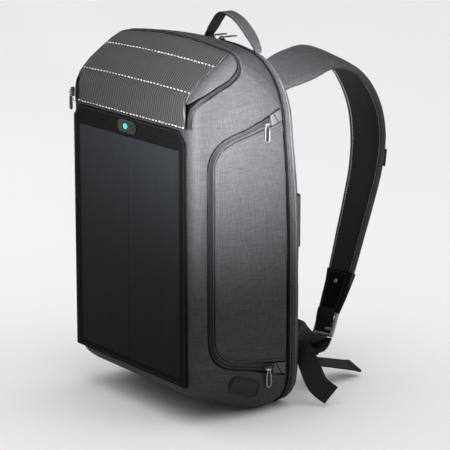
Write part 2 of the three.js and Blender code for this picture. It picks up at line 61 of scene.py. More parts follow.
def at(x, y, z):
    """A point in the frame, in metres, from millimetres measured back from the panel's face."""
    return Vector((x, y + PANEL_FACE_Y, z)) * MM


# --- Camera ---
camera = bpy.data.objects.new("camera", bpy.data.cameras.new("camera"))
scene.collection.objects.link(camera)
camera.data.lens = 184
camera.data.sensor_width = 36
camera.data.clip_end = 60
camera.location = (2.5035, -1.8066, 0.9448)
camera.rotation_euler = (math.radians(76.8), 0, math.radians(54.7))
scene.camera = camera


# --- Materials ---
NORMAL, OBJECT_PLACE = 1, 3  # outputs of a texture coordinate node


class Paint:
    """A material and short ways to write its node graph. Patterns are in millimetres."""

    def __init__(self, name):
        self.material = bpy.data.materials.new(name)
        self.material.use_nodes = True
        self.tree = self.material.node_tree
        self.shader = self.tree.nodes["Principled BSDF"]

    def node(self, kind, inputs=(), output=0, **settings):
        made = self.tree.nodes.new(kind)
        for name, value in settings.items():
            setattr(made, name, value)
        for socket, value in dict(inputs).items():
            self.feed(made.inputs[socket], value)
        return made.outputs[output]

    def feed(self, socket, value):
        if isinstance(value, bpy.types.NodeSocket):
            self.tree.links.new(value, socket)
        else:
            socket.default_value = value

    def math(self, operation, a, b=0.0):
        return self.node("ShaderNodeMath", {0: a, 1: b}, operation=operation)

    def place(self):
        """x, y and z in millimetres on the piece itself, apart and as one vector."""
        where = self.node("ShaderNodeTexCoord", output=OBJECT_PLACE)
        scaled = self.node("ShaderNodeVectorMath", {0: where, 3: 1 / MM}, operation="SCALE")
        return self.split(scaled), scaled

    def split(self, vector):
        parts = self.tree.nodes.new("ShaderNodeSeparateXYZ")
        self.tree.links.new(vector, parts.inputs[0])
        return list(parts.outputs)

    def weave_place(self):
        """Across and along a strip, in millimetres, from the map that its builder wrote."""
        return self.split(self.node("ShaderNodeUVMap", uv_map="weave"))[:2]

    def wave(self, value, pitch):
        """A smooth ridge from 0 to 1 every pitch millimetres."""
        turned = self.math("SINE", self.math("MULTIPLY", value, 2 * math.pi / pitch))
        return self.math("MULTIPLY", self.math("ADD", turned, 1.0), 0.5)

    def checker(self, u, v, pitch):
        return self.math("MULTIPLY", self.wave(u, pitch), self.wave(v, pitch))

    def faced(self, pattern):
        """pattern(u, v) laid flat on each side of the piece and mixed where the surface turns."""
        (x, y, z), _ = self.place()
        normal = self.split(self.node("ShaderNodeTexCoord", output=NORMAL))
        weights = [self.math("POWER", self.math("ABSOLUTE", n), 6.0) for n in normal]
        total = self.math("ADD", self.math("ADD", weights[0], weights[1]), weights[2])
        value = 0.0
        for weight, (u, v) in zip(weights, ((y, z), (x, z), (x, y))):
            value = self.math("ADD", value, self.math("MULTIPLY", pattern(u, v), self.math("DIVIDE", weight, total)))
        return value

    def noise(self, vector, scale, detail=2.0, stretch=(1, 1, 1)):
        """Soft noise from 0 to 1, of about scale millimetres, longer along the stretched axes."""
        spread = self.node(
            "ShaderNodeVectorMath", {0: vector, 1: [1 / (scale * s) for s in stretch]}, operation="MULTIPLY"
        )
        return self.node("ShaderNodeTexNoise", {"Vector": spread, "Scale": 1.0, "Detail": detail})

    def mix(self, factor, a, b):
        made = self.tree.nodes.new("ShaderNodeMix")
        made.data_type = "RGBA"
        for socket, value in (("Factor_Float", factor), ("A_Color", a), ("B_Color", b)):
            found = next(s for s in made.inputs if s.identifier == socket)
            self.feed(found, (*value, 1.0) if isinstance(value, tuple) else value)
        return next(s for s in made.outputs if s.identifier == "Result_Color")

    def finish(self, color, roughness, height=None, depth=0.2, **constants):
        """Sets the shader. height is a pattern from 0 to 1 that stands depth millimetres high."""
        self.feed(self.shader.inputs["Base Color"], (*color, 1.0) if isinstance(color, tuple) else color)
        self.feed(self.shader.inputs["Roughness"], roughness)
        if height is not None:
            bump = self.node("ShaderNodeBump", {"Height": height, "Strength": 1.0, "Distance": depth * MM})
            self.feed(self.shader.inputs["Normal"], bump)
        for name, value in constants.items():
            self.shader.inputs[name.replace("_", " ")].default_value = value
        return self.material


def scaled(color, factor):
    return tuple(c * factor for c in color)


def woven(name, color, pitch=0.9, contrast=0.3, roughness=0.6, depth=0.12, worn=0.3, **constants):
    """A fine plain weave with slubs both ways and a slow change of shade."""
    p = Paint(name)
    _, here = p.place()
    weave = p.faced(lambda u, v: p.checker(u, v, pitch))
    along = p.noise(here, 1.1, 2.0, (1, 1, 14))
    level = p.noise(here, 1.1, 2.0, (14, 14, 1))
    cloud = p.noise(here, 45.0, 3.0)
    slubs = p.math("MULTIPLY", p.math("SUBTRACT", p.math("ADD", along, level), 0.74), 1.9)
    threads = p.math("ADD", p.math("MULTIPLY", weave, 0.35), p.math("MULTIPLY", slubs, 0.65))
    shade = p.mix(threads, scaled(color, 1 - contrast), scaled(color, 1 + contrast))
    shade = p.mix(p.math("MULTIPLY", cloud, worn), shade, scaled(color, 0.7))
    rough = p.math("ADD", p.math("MULTIPLY", cloud, 0.16), roughness - 0.08)
    return p.finish(shade, rough, threads, depth, **constants)


def twill(name, dark, light, pitch, lean):
    """The lid's cloth: raised cords that run up it with a slight lean, crossed by fine picks."""
    p = Paint(name)
    u, v = p.weave_place()
    _, here = p.place()
    cord = p.wave(p.math("ADD", u, p.math("MULTIPLY", v, lean)), pitch)
    pick = p.wave(v, pitch * 0.6)
    threads = p.math("ADD", p.math("MULTIPLY", cord, 0.78), p.math("MULTIPLY", p.math("MULTIPLY", cord, pick), 0.22))
    cloud = p.noise(here, 30.0, 3.0)
    shade = p.mix(p.math("POWER", threads, 1.4), dark, light)
    shade = p.mix(p.math("MULTIPLY", cloud, 0.45), shade, scaled(light, 0.3))
    return p.finish(shade, 0.6, threads, 0.5, Specular_IOR_Level=0.25)


def channel(name, pale, dark, turn_y):
    """The side zips' cloth, with painted shade: pale along the top, dark up the front where the channel lies in shade,
    and dark along the groove where the lips meet.
    """
    p = Paint(name)
    (_, y, _), _ = p.place()
    u, v = p.weave_place()
    rib = p.wave(v, 1.5)
    # Painted shade: the front stretch, below turn_y, is darkened as if the channel there lay in shadow.
    front = p.node("ShaderNodeMapRange", {"Value": y, "From Min": turn_y + 14, "From Max": turn_y - 4})
    # Painted shade: the groove within about a millimetre of the lips' middle is darkened as if shaded.
    fold = p.node("ShaderNodeMapRange", {"Value": p.math("ABSOLUTE", u), "From Min": 0.2, "From Max": 1.0})
    shade = p.mix(rib, scaled(pale, 0.8), pale)
    shade = p.mix(p.math("MAXIMUM", p.math("MULTIPLY", front, 0.93), p.math("SUBTRACT", 1.0, fold)), shade, dark)
    return p.finish(shade, 0.6, rib, 0.15, Specular_IOR_Level=0.2)


def ribbed_strip(name, color, pitch, slope=0.0, roughness=0.75, depth=0.25, contrast=0.35, **constants):
    """Webbing or knitted mesh on a strip: ribs across it, herringboned about each slope-wide column."""
    p = Paint(name)
    u, v = p.weave_place()
    _, here = p.place()
    if slope:
        folded = p.math("PINGPONG", u, slope)
        v = p.math("ADD", v, p.math("MULTIPLY", folded, 0.7))
    rib = p.wave(v, pitch)
    cord = p.wave(u, 1.6)
    threads = p.math("ADD", p.math("MULTIPLY", rib, 0.7), p.math("MULTIPLY", cord, 0.3))
    fuzz = p.noise(here, 6.0, 4.0)
    shade = p.mix(threads, scaled(color, 1 - contrast), scaled(color, 1 + contrast))
    shade = p.mix(p.math("MULTIPLY", fuzz, 0.4), shade, scaled(color, 0.8))
    return p.finish(shade, roughness, threads, depth, **constants)


def diagonal_mesh(name, color, pitch):
    """The straps' inner face: raised diagonal cords with an open mesh between them."""
    p = Paint(name)
    u, v = p.weave_place()
    cord = p.wave(p.math("ADD", u, p.math("MULTIPLY", v, 0.55)), pitch)
    holes = p.checker(u, v, 1.6)
    height = p.math("ADD", cord, p.math("MULTIPLY", holes, 0.4))
    shade = p.mix(cord, scaled(color, 0.45), scaled(color, 2.1))
    return p.finish(shade, 0.8, height, 0.5, Specular_IOR_Level=0.25)


def spacer_mesh(name, color, pitch=3.2):
    """Air mesh over foam, with rows of small holes."""
    p = Paint(name)
    _, here = p.place()

    def hole(u, v):
        shifted = p.checker(p.math("ADD", u, pitch / 2), p.math("ADD", v, pitch / 2), pitch)
        return p.math("MAXIMUM", p.checker(u, v, pitch), shifted)

    open_ = p.math("POWER", p.faced(hole), 2.0)
    cloud = p.noise(here, 25.0, 3.0)
    shade = p.mix(open_, scaled(color, 1.35), scaled(color, 0.25))
    shade = p.mix(p.math("MULTIPLY", cloud, 0.3), shade, scaled(color, 0.9))
    return p.finish(shade, 0.82, p.math("SUBTRACT", 1.0, open_), 0.6, Specular_IOR_Level=0.25)


def cells(name, color):
    """Dark coated cells: hair-fine contact fingers, wider busbars and a faint mottle, with painted light: paler towards
    the top, as if lit from above.
    """
    p = Paint(name)
    (x, _, z), here = p.place()
    # Painted light: the colour runs from a fifth of it at 90 mm up to nearly twice it at 380 mm, standing in for light
    # from above.
    high = p.node("ShaderNodeMapRange", {"Value": z, "From Min": 90.0, "From Max": 380.0})
    finger = p.math("POWER", p.wave(x, 1.9), 10.0)
    bus = p.math("POWER", p.wave(p.math("ADD", x, 7.5), 30.0), 600.0)
    mottle = p.noise(here, 22.0, 4.0, (0.5, 1, 3))
    grain = p.noise(here, 1.1, 2.0)
    shade = p.mix(high, scaled(color, 0.2), scaled(color, 1.8))
    shade = p.mix(p.math("MULTIPLY", mottle, 0.5), shade, scaled(color, 0.8))
    shade = p.mix(p.math("MULTIPLY", finger, 0.2), shade, scaled(color, 1.7))
    shade = p.mix(p.math("MULTIPLY", bus, 0.06), shade, (0.10, 0.11, 0.12))
    rough = p.math("ADD", 0.34, p.math("MULTIPLY", grain, 0.14))
    return p.finish(shade, rough, p.math("ADD", finger, grain), 0.02, Specular_IOR_Level=0.1, IOR=1.25)


def moulded(name, color, roughness, grain_depth=0.04, metallic=0.0, **constants):
    """Plastic, rubber or coated metal with a fine moulded grain and lighter worn spots."""
    p = Paint(name)
    _, here = p.place()
    grain = p.noise(here, 0.7, 3.0)
    spots = p.noise(here, 5.0, 4.0)
    shade = p.mix(p.math("MULTIPLY", spots, 0.5), scaled(color, 0.85), scaled(color, 1.2))
    rough = p.math("ADD", roughness - 0.06, p.math("MULTIPLY", spots, 0.12))
    return p.finish(shade, rough, grain, grain_depth, Metallic=metallic, **constants)


def lens(name, centre, ring):
    """A small lamp behind a clear lens: bright round its rim and darker in the middle."""
    p = Paint(name)
    (x, _, z), _ = p.place()
    dx = p.math("SUBTRACT", x, centre[0])
    dz = p.math("SUBTRACT", z, centre[1])
    away = p.math("SQRT", p.math("ADD", p.math("MULTIPLY", dx, dx), p.math("MULTIPLY", dz, dz)))
    glow = p.math("SMOOTH_MIN", p.math("DIVIDE", away, ring), 1.0)
    shade = p.mix(glow, (0.0, 0.10, 0.11), (0.0, 0.50, 0.46))
    p.feed(p.shader.inputs["Emission Color"], shade)
    return p.finish(shade, 0.25, Emission_Strength=0.35, Coat_Weight=0.6)


GREY = (0.040, 0.0395, 0.0435)
LID_SEAMS = [46.6, 95.6]  # up the lid's face from its lower edge
MATERIALS = {
    "coated_fabric": woven("coated_cloth", GREY, contrast=0.45, roughness=0.62, Specular_IOR_Level=0.15),
    "ribbed_fabric": twill("lid_cloth", (0.004, 0.004, 0.0045), (0.085, 0.085, 0.09), 4.6, 0.2),
    "black_fabric": woven(
        "black_cloth", (0.006, 0.006, 0.0065), 1.6, contrast=0.5, roughness=0.7, Specular_IOR_Level=0.1, IOR=1.25
    ),
    "mesh_fabric": spacer_mesh("pad_mesh", (0.020, 0.020, 0.022)),
    "webbing": ribbed_strip("webbing_cloth", (0.011, 0.011, 0.012), 1.5, slope=4.0, Specular_IOR_Level=0.2),
    "lining": woven("lining_cloth", (0.05, 0.05, 0.055), pitch=1.2, roughness=0.7),
    "solar_cell": cells("cell_face_painted_top_light", (0.012, 0.0135, 0.0155)),
    "black_plastic": moulded("black_plastic", (0.004, 0.004, 0.0045), 0.25, Specular_IOR_Level=0.35),
    "rubber": moulded("rubber", (0.006, 0.006, 0.007), 0.45, Specular_IOR_Level=0.3),
    "zip_metal": moulded("gunmetal", (0.035, 0.035, 0.038), 0.3, 0.01, 0.6),
    "buckle_plastic": moulded("buckle_plastic", (0.25, 0.25, 0.255), 0.38),
    "led": lens("status_lens", (-3.0, 380.0), 3.2),
    "foam_board": moulded("foam_board", (0.03, 0.03, 0.034), 0.85, 0.2),
}
STRAP_MESH = diagonal_mesh("strap_mesh", (0.011, 0.011, 0.012), 2.6)
PALE_THREAD = ribbed_strip("pale_thread", (0.36, 0.36, 0.37), 0.8, roughness=0.6, depth=0.1)
DARK_THREAD = ribbed_strip("dark_thread", (0.045, 0.045, 0.05), 0.8, roughness=0.6, depth=0.1)
BLACK_THREAD = ribbed_strip("black_thread", (0.014, 0.014, 0.015), 0.8, roughness=0.6, depth=0.1)
BRIGHT_METAL = moulded("bright_metal", (0.5, 0.5, 0.51), 0.22, 0.01, 1.0)
ZIP_CLOTH = ribbed_strip("zip_cloth", (0.009, 0.009, 0.010), 1.5, roughness=0.5, depth=0.12, Specular_IOR_Level=0.2)
# Side zip cloth with painted shade up the front stretch and along the groove between the lips.
CHANNEL_CLOTH_PAINTED_SHADE = channel("channel_cloth", (0.024, 0.024, 0.026), (0.003, 0.003, 0.003), PANEL_FACE_Y + 38)
TAB_CLOTH = ribbed_strip("tab_cloth", (0.055, 0.055, 0.058), 1.6, roughness=0.6, depth=0.2)
# A paler cloth for piping and cords. This is partly the piping's own lighter tone and partly a painted highlight for
# the light these rounded edges catch.
PALE_HIGHLIGHT_CLOTH = woven("pale_cloth_painted_highlight", (0.08, 0.08, 0.084), roughness=0.6, Specular_IOR_Level=0.2)

slots = {part["node"]: part["material_slot"] for part in frame["record"]["subparts"]}
for node, body_node in NODES.items():
    body_node.data.materials.clear()
    body_node.data.materials.append(MATERIALS[slots[node]])


# --- Mesh tools ---
def link(name, mesh):
    made = bpy.data.objects.new(name, mesh)
    scene.collection.objects.link(made)
    return made


def shade_smooth(mesh, smooth=True):
    mesh.polygons.foreach_set("use_smooth", [smooth] * len(mesh.polygons))


def build(name, points, faces, weave=None, outward=True):
    """A smooth mesh object. weave gives each point its place across and along a strip, in millimetres."""
    mesh = bpy.data.meshes.new(name)
    mesh.from_pydata([tuple(p) for p in points], [], faces)
    if weave is not None:
        store_weave(mesh, np.asarray(weave, float))
    if outward:
        shape = bmesh.new()
        shape.from_mesh(mesh)
        bmesh.ops.recalc_face_normals(shape, faces=shape.faces)
        shape.to_mesh(mesh)
        shape.free()
    shade_smooth(mesh)
    mesh.update()
    return link(name, mesh)


def store_weave(mesh, places):
    """Writes a place in millimetres for each vertex into the map that the strip materials read."""
    layer = mesh.uv_layers.new(name="weave")
    corner = np.empty(len(mesh.loops), np.int32)
    mesh.loops.foreach_get("vertex_index", corner)
    layer.data.foreach_set("uv", places[corner].astype(np.float32).ravel())


def coords(mesh, what="co"):
    flat = np.empty(len(mesh.vertices) * 3, np.float32)
    mesh.vertices.foreach_get(what, flat)
    return flat.reshape(-1, 3).astype(float)


def set_coords(mesh, co):
    mesh.vertices.foreach_set("co", co.astype(np.float32).ravel())
    mesh.update()


def applied(obj):
    """obj with its modifiers made part of its mesh."""
    mesh = bpy.data.meshes.new_from_object(obj.evaluated_get(bpy.context.evaluated_depsgraph_get()))
    obj.modifiers.clear()
    obj.data = mesh
    return obj


def relax(mesh, rounds):
    """Evens out a fine mesh without shrinking it."""
    edges = np.empty(len(mesh.edges) * 2, np.int32)
    mesh.edges.foreach_get("vertices", edges)
    a, b = edges.reshape(-1, 2).T
    co = coords(mesh)
    count = np.bincount(edges, minlength=len(co))[:, None]
    for _ in range(rounds):
        for step in (0.5, -0.51):
            total = np.stack(
                [
                    np.bincount(a, co[b, i], len(co)) + np.bincount(b, co[a, i], len(co))
                    for i in range(3)
                ],
                axis=1,
            )
            co += step * (total / count - co)
    set_coords(mesh, co)


def skin(name, node, voxel, rounds=6):
    """A CAD solid as an even, softened mesh that can be shaped."""
    made = link(name, NODES[node].data.copy())
    even = made.modifiers.new("even", "REMESH")
    even.mode = "VOXEL"
    even.voxel_size = voxel * MM
    applied(made)
    relax(made.data, rounds)
    shade_smooth(made.data)
    return made


def ruffle(obj, height, size, seed, low_height=0.0):
    """Slow waves in cloth, height millimetres deep, with deeper ones near the ground."""
    mesh = obj.data
    co, normal = coords(mesh), coords(mesh, "normal")
    shift = Vector((seed * 3.7, seed * 1.3, seed * 2.1))
    for i, point in enumerate(co):
        here = Vector((point[0], point[1], point[2] * 1.6)) / (size * MM)
        depth = height + low_height * max(0.0, 1 - point[2] / (90 * MM))
        co[i] += normal[i] * (noise.noise(here + shift) + 0.4 * noise.noise(here * 2.3 + shift)) * depth * MM
    co[:, 2] = np.maximum(co[:, 2], 0.0)
    set_coords(mesh, co)


def dress(obj, body, slot, *materials, stands_for=()):
    """Gives a piece its finish and its body, and hides the CAD nodes that it stands for."""
    wanted = list(materials) or list(obj.data.materials) or [MATERIALS[slot]]
    if list(obj.data.materials) != wanted:
        obj.data.materials.clear()
        for material in wanted:
            obj.data.materials.append(material)
    if stands_for:
        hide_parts(*stands_for)
    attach(obj, body)
    return obj


def unit(rows):
    return rows / np.maximum(np.linalg.norm(rows, axis=-1, keepdims=True), 1e-9)


def headings(path, closed):
    ahead, behind = np.roll(path, -1, 0), np.roll(path, 1, 0)
    if not closed:
        ahead[-1], behind[0] = path[-1], path[0]
    return unit(ahead - behind)


def sweep(name, path, ups, section, closed=False, widths=None, heights=None):
    """A strip or tube along a path. section is a closed loop of (across, up) in millimetres."""
    path, ups = np.asarray(path, float), np.asarray(ups, float)
    ahead = headings(path, closed)
    side = unit(np.cross(ahead, ups))
    up = unit(np.cross(side, ahead))
    loop = np.asarray(section, float) * MM
    wide = np.ones(len(path)) if widths is None else np.asarray(widths, float)
    high = np.ones(len(path)) if heights is None else np.asarray(heights, float)
    across = loop[None, :, 0, None] * wide[:, None, None]
    upward = loop[None, :, 1, None] * high[:, None, None]
    rings = path[:, None] + side[:, None] * across + up[:, None] * upward
    rows, count = len(path), len(loop)
    faces = []
    for r in range(rows if closed else rows - 1):
        for i in range(count):
            j, s = (i + 1) % count, (r + 1) % rows
            faces.append((r * count + i, r * count + j, s * count + j, s * count + i))
    if not closed:
        faces += [tuple(range(count))[::-1], tuple((rows - 1) * count + i for i in range(count))]
    run = np.concatenate([[0], np.cumsum(np.linalg.norm(np.diff(path, axis=0), axis=1))]) / MM
    places = np.stack([((loop[None, :, 0] / MM) * wide[:, None]).ravel(), np.repeat(run, count)], axis=1)
    return build(name, rings.reshape(-1, 3), faces, places)


def rounded_loop(x0, x1, y0, y1, r, steps=8):
    """A rectangle's outline with corners of radius r."""
    loop = []
    for cx, cy, start in ((x1 - r, y1 - r, 0), (x0 + r, y1 - r, 90), (x0 + r, y0 + r, 180), (x1 - r, y0 + r, 270)):
        for i in range(steps + 1):
            turn = math.radians(start + 90 * i / steps)
            loop.append((cx + r * math.cos(turn), cy + r * math.sin(turn)))
    return loop


def flat_section(width, thick, edge=None, steps=3):
    """A flat strip's section, with its long edges rounded."""
    w, h = width / 2, thick / 2
    return rounded_loop(-w, w, -h, h, min(h, w) if edge is None else edge, steps)


def round_section(radius, sides=8):
    turns = [2 * math.pi * i / sides for i in range(sides)]
    return [(radius * math.cos(t), radius * math.sin(t)) for t in turns]


def resample(path, step, ups=None, closed=False):
    """The same path with a point every step millimetres or a little less, and its ups beside it."""
    path = np.asarray(path, float)
    if closed:
        path = np.vstack([path, path[:1]])
        ups = None if ups is None else np.vstack([ups, ups[:1]])
    run = np.concatenate([[0], np.cumsum(np.linalg.norm(np.diff(path, axis=0), axis=1))])
    count = max(3, int(math.ceil(run[-1] / (step * MM))) + 1)
    places = np.linspace(0, run[-1], count)
    if closed:
        places = places[:-1]
    made = np.stack([np.interp(places, run, path[:, i]) for i in range(3)], axis=1)
    if ups is None:
        return made
    turned = np.stack([np.interp(places, run, np.asarray(ups)[:, i]) for i in range(3)], axis=1)
    return made, unit(turned)


def soften(rows, rounds, closed=False):
    """Takes small corners out of a path or its ups. An open path keeps its ends."""
    rows = np.array(rows, float)
    for _ in range(rounds):
        middle = (np.roll(rows, 1, 0) + np.roll(rows, -1, 0)) / 2
        if not closed:
            middle[0], middle[-1] = rows[0], rows[-1]
        rows = rows * 0.4 + middle * 0.6
    return rows


def stitches(name, path, ups, pitch, length, radius, lift=0.3, closed=False):
    """A row of separate thread stitches lying on a surface."""
    path, ups = resample(path, pitch, ups, closed)
    ahead = headings(path, closed)
    side = unit(np.cross(ahead, ups))
    up = unit(np.cross(side, ahead))
    middles = path + up * radius * lift * MM
    shape = [(-0.5, 0.0), (-0.3, 1.0), (0.3, 1.0), (0.5, 0.0)]
    points, faces, places = [], [], []
    for c, a, s, u in zip(middles, ahead, side, up):
        base = len(points)
        for share, girth in (shape[0], shape[3]):
            points.append(c + a * share * length * MM)
            places.append((0, share * length))
        for share, girth in shape[1:3]:
            for i in range(6):
                turn = math.pi * i / 3
                out = s * math.cos(turn) + u * math.sin(turn)
                points.append(c + a * share * length * MM + out * girth * radius * MM)
                places.append((i, share * length))
        for i in range(6):
            j = (i + 1) % 6
            faces.append((base, base + 2 + j, base + 2 + i))
            faces.append((base + 2 + i, base + 2 + j, base + 8 + j, base + 8 + i))
            faces.append((base + 1, base + 8 + i, base + 8 + j))
    return build(name, points, faces, places)


def tree_of(*objects):
    points, faces = [], []
    for obj in objects:
        base = len(points)
        points += [v.co.copy() for v in obj.data.vertices]
        faces += [[base + i for i in p.vertices] for p in obj.data.polygons]
    return BVHTree.FromPolygons(points, faces)


def lay(guides, tree, lift=0.0):
    """Drops each guide, a (far point, anchor) pair in millimetres, onto a surface. Returns points and normals."""
    points, normals = [], []
    for far, anchor in guides:
        start, end = at(*far), at(*anchor)
        hit, normal, _, _ = tree.ray_cast(start, (end - start).normalized())
        if hit is not None:
            if normal.dot(start - end) < 0:
                normal = -normal
            points.append(hit + normal * lift * MM)
            normals.append(normal)
    return np.array(points), unit(soften(np.array(normals), 3))


def curve(points, steps):
    """A centripetal Catmull-Rom curve through points, with its parameter running evenly over them."""
    pts = [Vector(p) for p in points]
    pts = [pts[0] * 2 - pts[1]] + pts + [pts[-1] * 2 - pts[-2]]
    made = []
    for n in range(steps + 1):
        place = n / steps * (len(pts) - 3)
        i = min(int(place), len(pts) - 4)
        p0, p1, p2, p3 = pts[i : i + 4]
        t0 = 0.0
        t1 = t0 + math.sqrt((p1 - p0).length)
        t2 = t1 + math.sqrt((p2 - p1).length)
        t3 = t2 + math.sqrt((p3 - p2).length)
        t = t1 + (t2 - t1) * (place - i)
        a1 = p0 * ((t1 - t) / (t1 - t0)) + p1 * ((t - t0) / (t1 - t0))
        a2 = p1 * ((t2 - t) / (t2 - t1)) + p2 * ((t - t1) / (t2 - t1))
        a3 = p2 * ((t3 - t) / (t3 - t2)) + p3 * ((t - t2) / (t3 - t2))
        b1 = a1 * ((t2 - t) / (t2 - t0)) + a2 * ((t - t0) / (t2 - t0))
        b2 = a2 * ((t3 - t) / (t3 - t1)) + a3 * ((t - t1) / (t3 - t1))
        made.append(b1 * ((t2 - t) / (t2 - t1)) + b2 * ((t - t1) / (t2 - t1)))
    return made


def table(rows, place):
    return float(np.interp(place, [r[0] for r in rows], [r[1] for r in rows]))


SIDES = (("right", 1), ("left", -1))
SEAM = (3.4, 2.3)  # pitch and length of a seam's stitches
EDGE_SEAM = (3.4, 2.4)

# --- Body: a soft shell with lined insides ---
body = skin("body_cloth", "body_shell", 2.2)
ruffle(body, 0.7, 70, 1, low_height=0.8)
body.data.materials.clear()
for material in (MATERIALS["coated_fabric"], MATERIALS["lining"]):
    body.data.materials.append(material)
CORE = at(0, 84, 240)
for face in body.data.polygons:
    away = face.center - CORE
    face.material_index = int(face.normal.dot(Vector((away.x * 2.2, away.y * 3, away.z))) < 0)
dress(body, "root", "coated_fabric", stands_for=["body_shell"])

# --- Side doors: crowned cloth with a folded welt and a sewn edge ---
DOOR = {"front": 38, "hinge": 153, "bottom": (77, 67), "top": (376, 392), "corner": 26}
ZIP_GROW = 11
DOOR_CROWN = 3.2


def door_outline(grow):
    """The door's edge as (depth, height), from the top of its hinge round to the bottom, grown by grow."""
    front = DOOR["front"] - grow
    radius = DOOR["corner"] + grow
    turn = front + radius * 1.6
    top = (DOOR["top"][0] + grow, DOOR["top"][1] + grow * 1.55)
    bottom = (DOOR["bottom"][0] - grow, DOOR["bottom"][1] - grow * 1.8)

    def bend(a, b, c):
        return [
            tuple((1 - t) ** 2 * a[i] + 2 * t * (1 - t) * b[i] + t * t * c[i] for i in (0, 1))
            for t in np.linspace(0, 1, 12)
        ]

    upper = bend((turn, top[0]), (front + 2, top[0] - 8), (front, top[0] - radius - 8))
    lower = bend((front, bottom[0] + radius + 8), (front + 2, bottom[0] + 6), (turn, bottom[0]))
    rough = [(DOOR["hinge"], top[1])] + upper + lower + [(DOOR["hinge"], bottom[1])]
    path = resample([(0, y, z) for y, z in rough], 3 / MM)
    return [(p[1], p[2]) for p in path]


def side_guides(outline, side):
    return [((side * 200, y, z), (0, y, z)) for y, z in outline]


for word, side in SIDES:
    door = skin(f"door_cloth_{word}", f"side_door_{word}", 2.0)
    co = coords(door.data)
    rim = np.array([at(0, y, z)[1:] for y, z in door_outline(0)])
    inward = np.min(np.linalg.norm(co[:, None, 1:] - rim[None], axis=2), axis=1) / MM
    co[:, 0] += side * DOOR_CROWN * MM * (1 - np.exp(-((inward / 16) ** 1.4)))
    set_coords(door.data, co)
    ruffle(door, 0.7, 55, 4 + side)
    dress(door, f"door_{word}", "coated_fabric", stands_for=[f"side_door_{word}"])
    door_tree = tree_of(door)
    tape_tree = tree_of(NODES[f"side_zip_tape_{word}"])

    points, ups = lay(side_guides(door_outline(-1.6), side), door_tree, 0.5)
    points, ups = resample(points, 3, ups)
    welt = sweep(f"door_welt_{word}", soften(points, 6), soften(ups, 6), round_section(1.5, 10))
    dress(welt, f"door_{word}", "coated_fabric")
    points, ups = lay(side_guides(door_outline(-5.2), side), door_tree)
    row = stitches(f"door_stitches_{word}", soften(points, 4), ups, *SEAM, 0.4)
    dress(row, f"door_{word}", "coated_fabric", DARK_THREAD)

    points, ups = lay(side_guides(door_outline(ZIP_GROW / 2), side), tape_tree, 0.2)
    points, ups = resample(points, 2, ups)
    lips = [(-4.2, -0.1), (-3.9, 0.35), (-0.5, 0.8), (0, 0.1), (0.5, 0.8), (3.9, 0.35), (4.2, -0.1), (0, -0.6)]
    zip_ = sweep(f"side_zip_lips_{word}", soften(points, 6), soften(ups, 6), lips)
    dress(zip_, "root", "black_fabric", CHANNEL_CLOTH_PAINTED_SHADE)
    for edge, grow in (("outer", ZIP_GROW - 0.7), ("inner", 1.5)):
        points, ups = lay(side_guides(door_outline(grow), side), tape_tree, 0.1)
        thread = round_section(0.6 if edge == "inner" else 0.8, 8)
        cord = sweep(f"side_zip_{edge}_cord_{word}", soften(points, 4), soften(ups, 4), thread)
        # The inner cord takes the paler cloth, partly a painted highlight along the door's edge.
        dress(cord, "root", "black_fabric", *([PALE_HIGHLIGHT_CLOTH] if edge == "inner" else []))
    for level, y, z, slope in (("upper", 145, 397.4, 0.219), ("lower", 145, 59.5, -0.137)):
        tab_line = [(y + s, z + s * slope) for s in np.linspace(-12, 8, 9)]
        points, ups = lay(side_guides(tab_line, side), tape_tree, 0.5)
        tab = sweep(f"zip_end_{level}_{word}", points, ups, flat_section(14 if level == "upper" else 15, 1.2))
        dress(tab, "root", "webbing", TAB_CLOTH)
        slant = [(y + s, z + s * slope + t) for s, t in ((-7, 6.5), (-3, 0), (1, -6.5))]
        points, ups = lay(side_guides(slant, side), tree_of(tab), 0.1)
        points, ups = resample(points, 2, ups)
        fold = sweep(f"zip_end_fold_{level}_{word}", points, ups, round_section(0.7, 6))
        dress(fold, "root", "webbing")

# --- Linings: soft pockets and the laptop divider ---
for word, _ in SIDES:
    pocket = skin(f"side_pocket_cloth_{word}", f"side_pocket_{word}", 2.0)
    ruffle(pocket, 0.4, 40, 11)
    dress(pocket, "root", "lining", stands_for=[f"side_pocket_{word}"])
divider = skin("laptop_divider_cloth", "laptop_divider", 2.0)
ruffle(divider, 0.4, 70, 13)
dress(divider, "root", "lining", stands_for=["laptop_divider"])
for tape in ("side_zip_tape_right", "side_zip_tape_left", "lid_zip_tape", "laptop_zip_tape"):
    woven_tape = skin(f"{tape}_cloth", tape, 1.2, 4)
    dress(woven_tape, "root", "black_fabric", stands_for=[tape])

# --- Lid: ribbed cloth in three lapped strips, smooth sides, and its zip ---
PROFILE = [(3, 395), (3, 426), (10, 440), (28, 459), (46, 473), (62, 485), (77, 495)]
LID_FRONT_HALF = 133
RIB_HALF = 127
LID_BACK_Y = 77
LID_SEAM = [(0, 421), (15, 434), (38, 445), (62, 455), (73, 466), (77, 474)]


def up_lid(co):
    """How far up the lid's face each point lies, in millimetres."""
    y = co[:, 1] / MM - PANEL_FACE_Y
    z = co[:, 2] / MM
    best, place, start = np.full(len(co), 1e9), np.zeros(len(co)), 0.0
    for (y0, z0), (y1, z1) in zip(PROFILE, PROFILE[1:]):
        length = math.hypot(y1 - y0, z1 - z0)
        t = np.clip(((y - y0) * (y1 - y0) + (z - z0) * (z1 - z0)) / length**2, 0, 1)
        off = np.hypot(y - y0 - t * (y1 - y0), z - z0 - t * (z1 - z0))
        closer = off < best
        best[closer], place[closer] = off[closer], start + (t * length)[closer]
        start += length
    return place


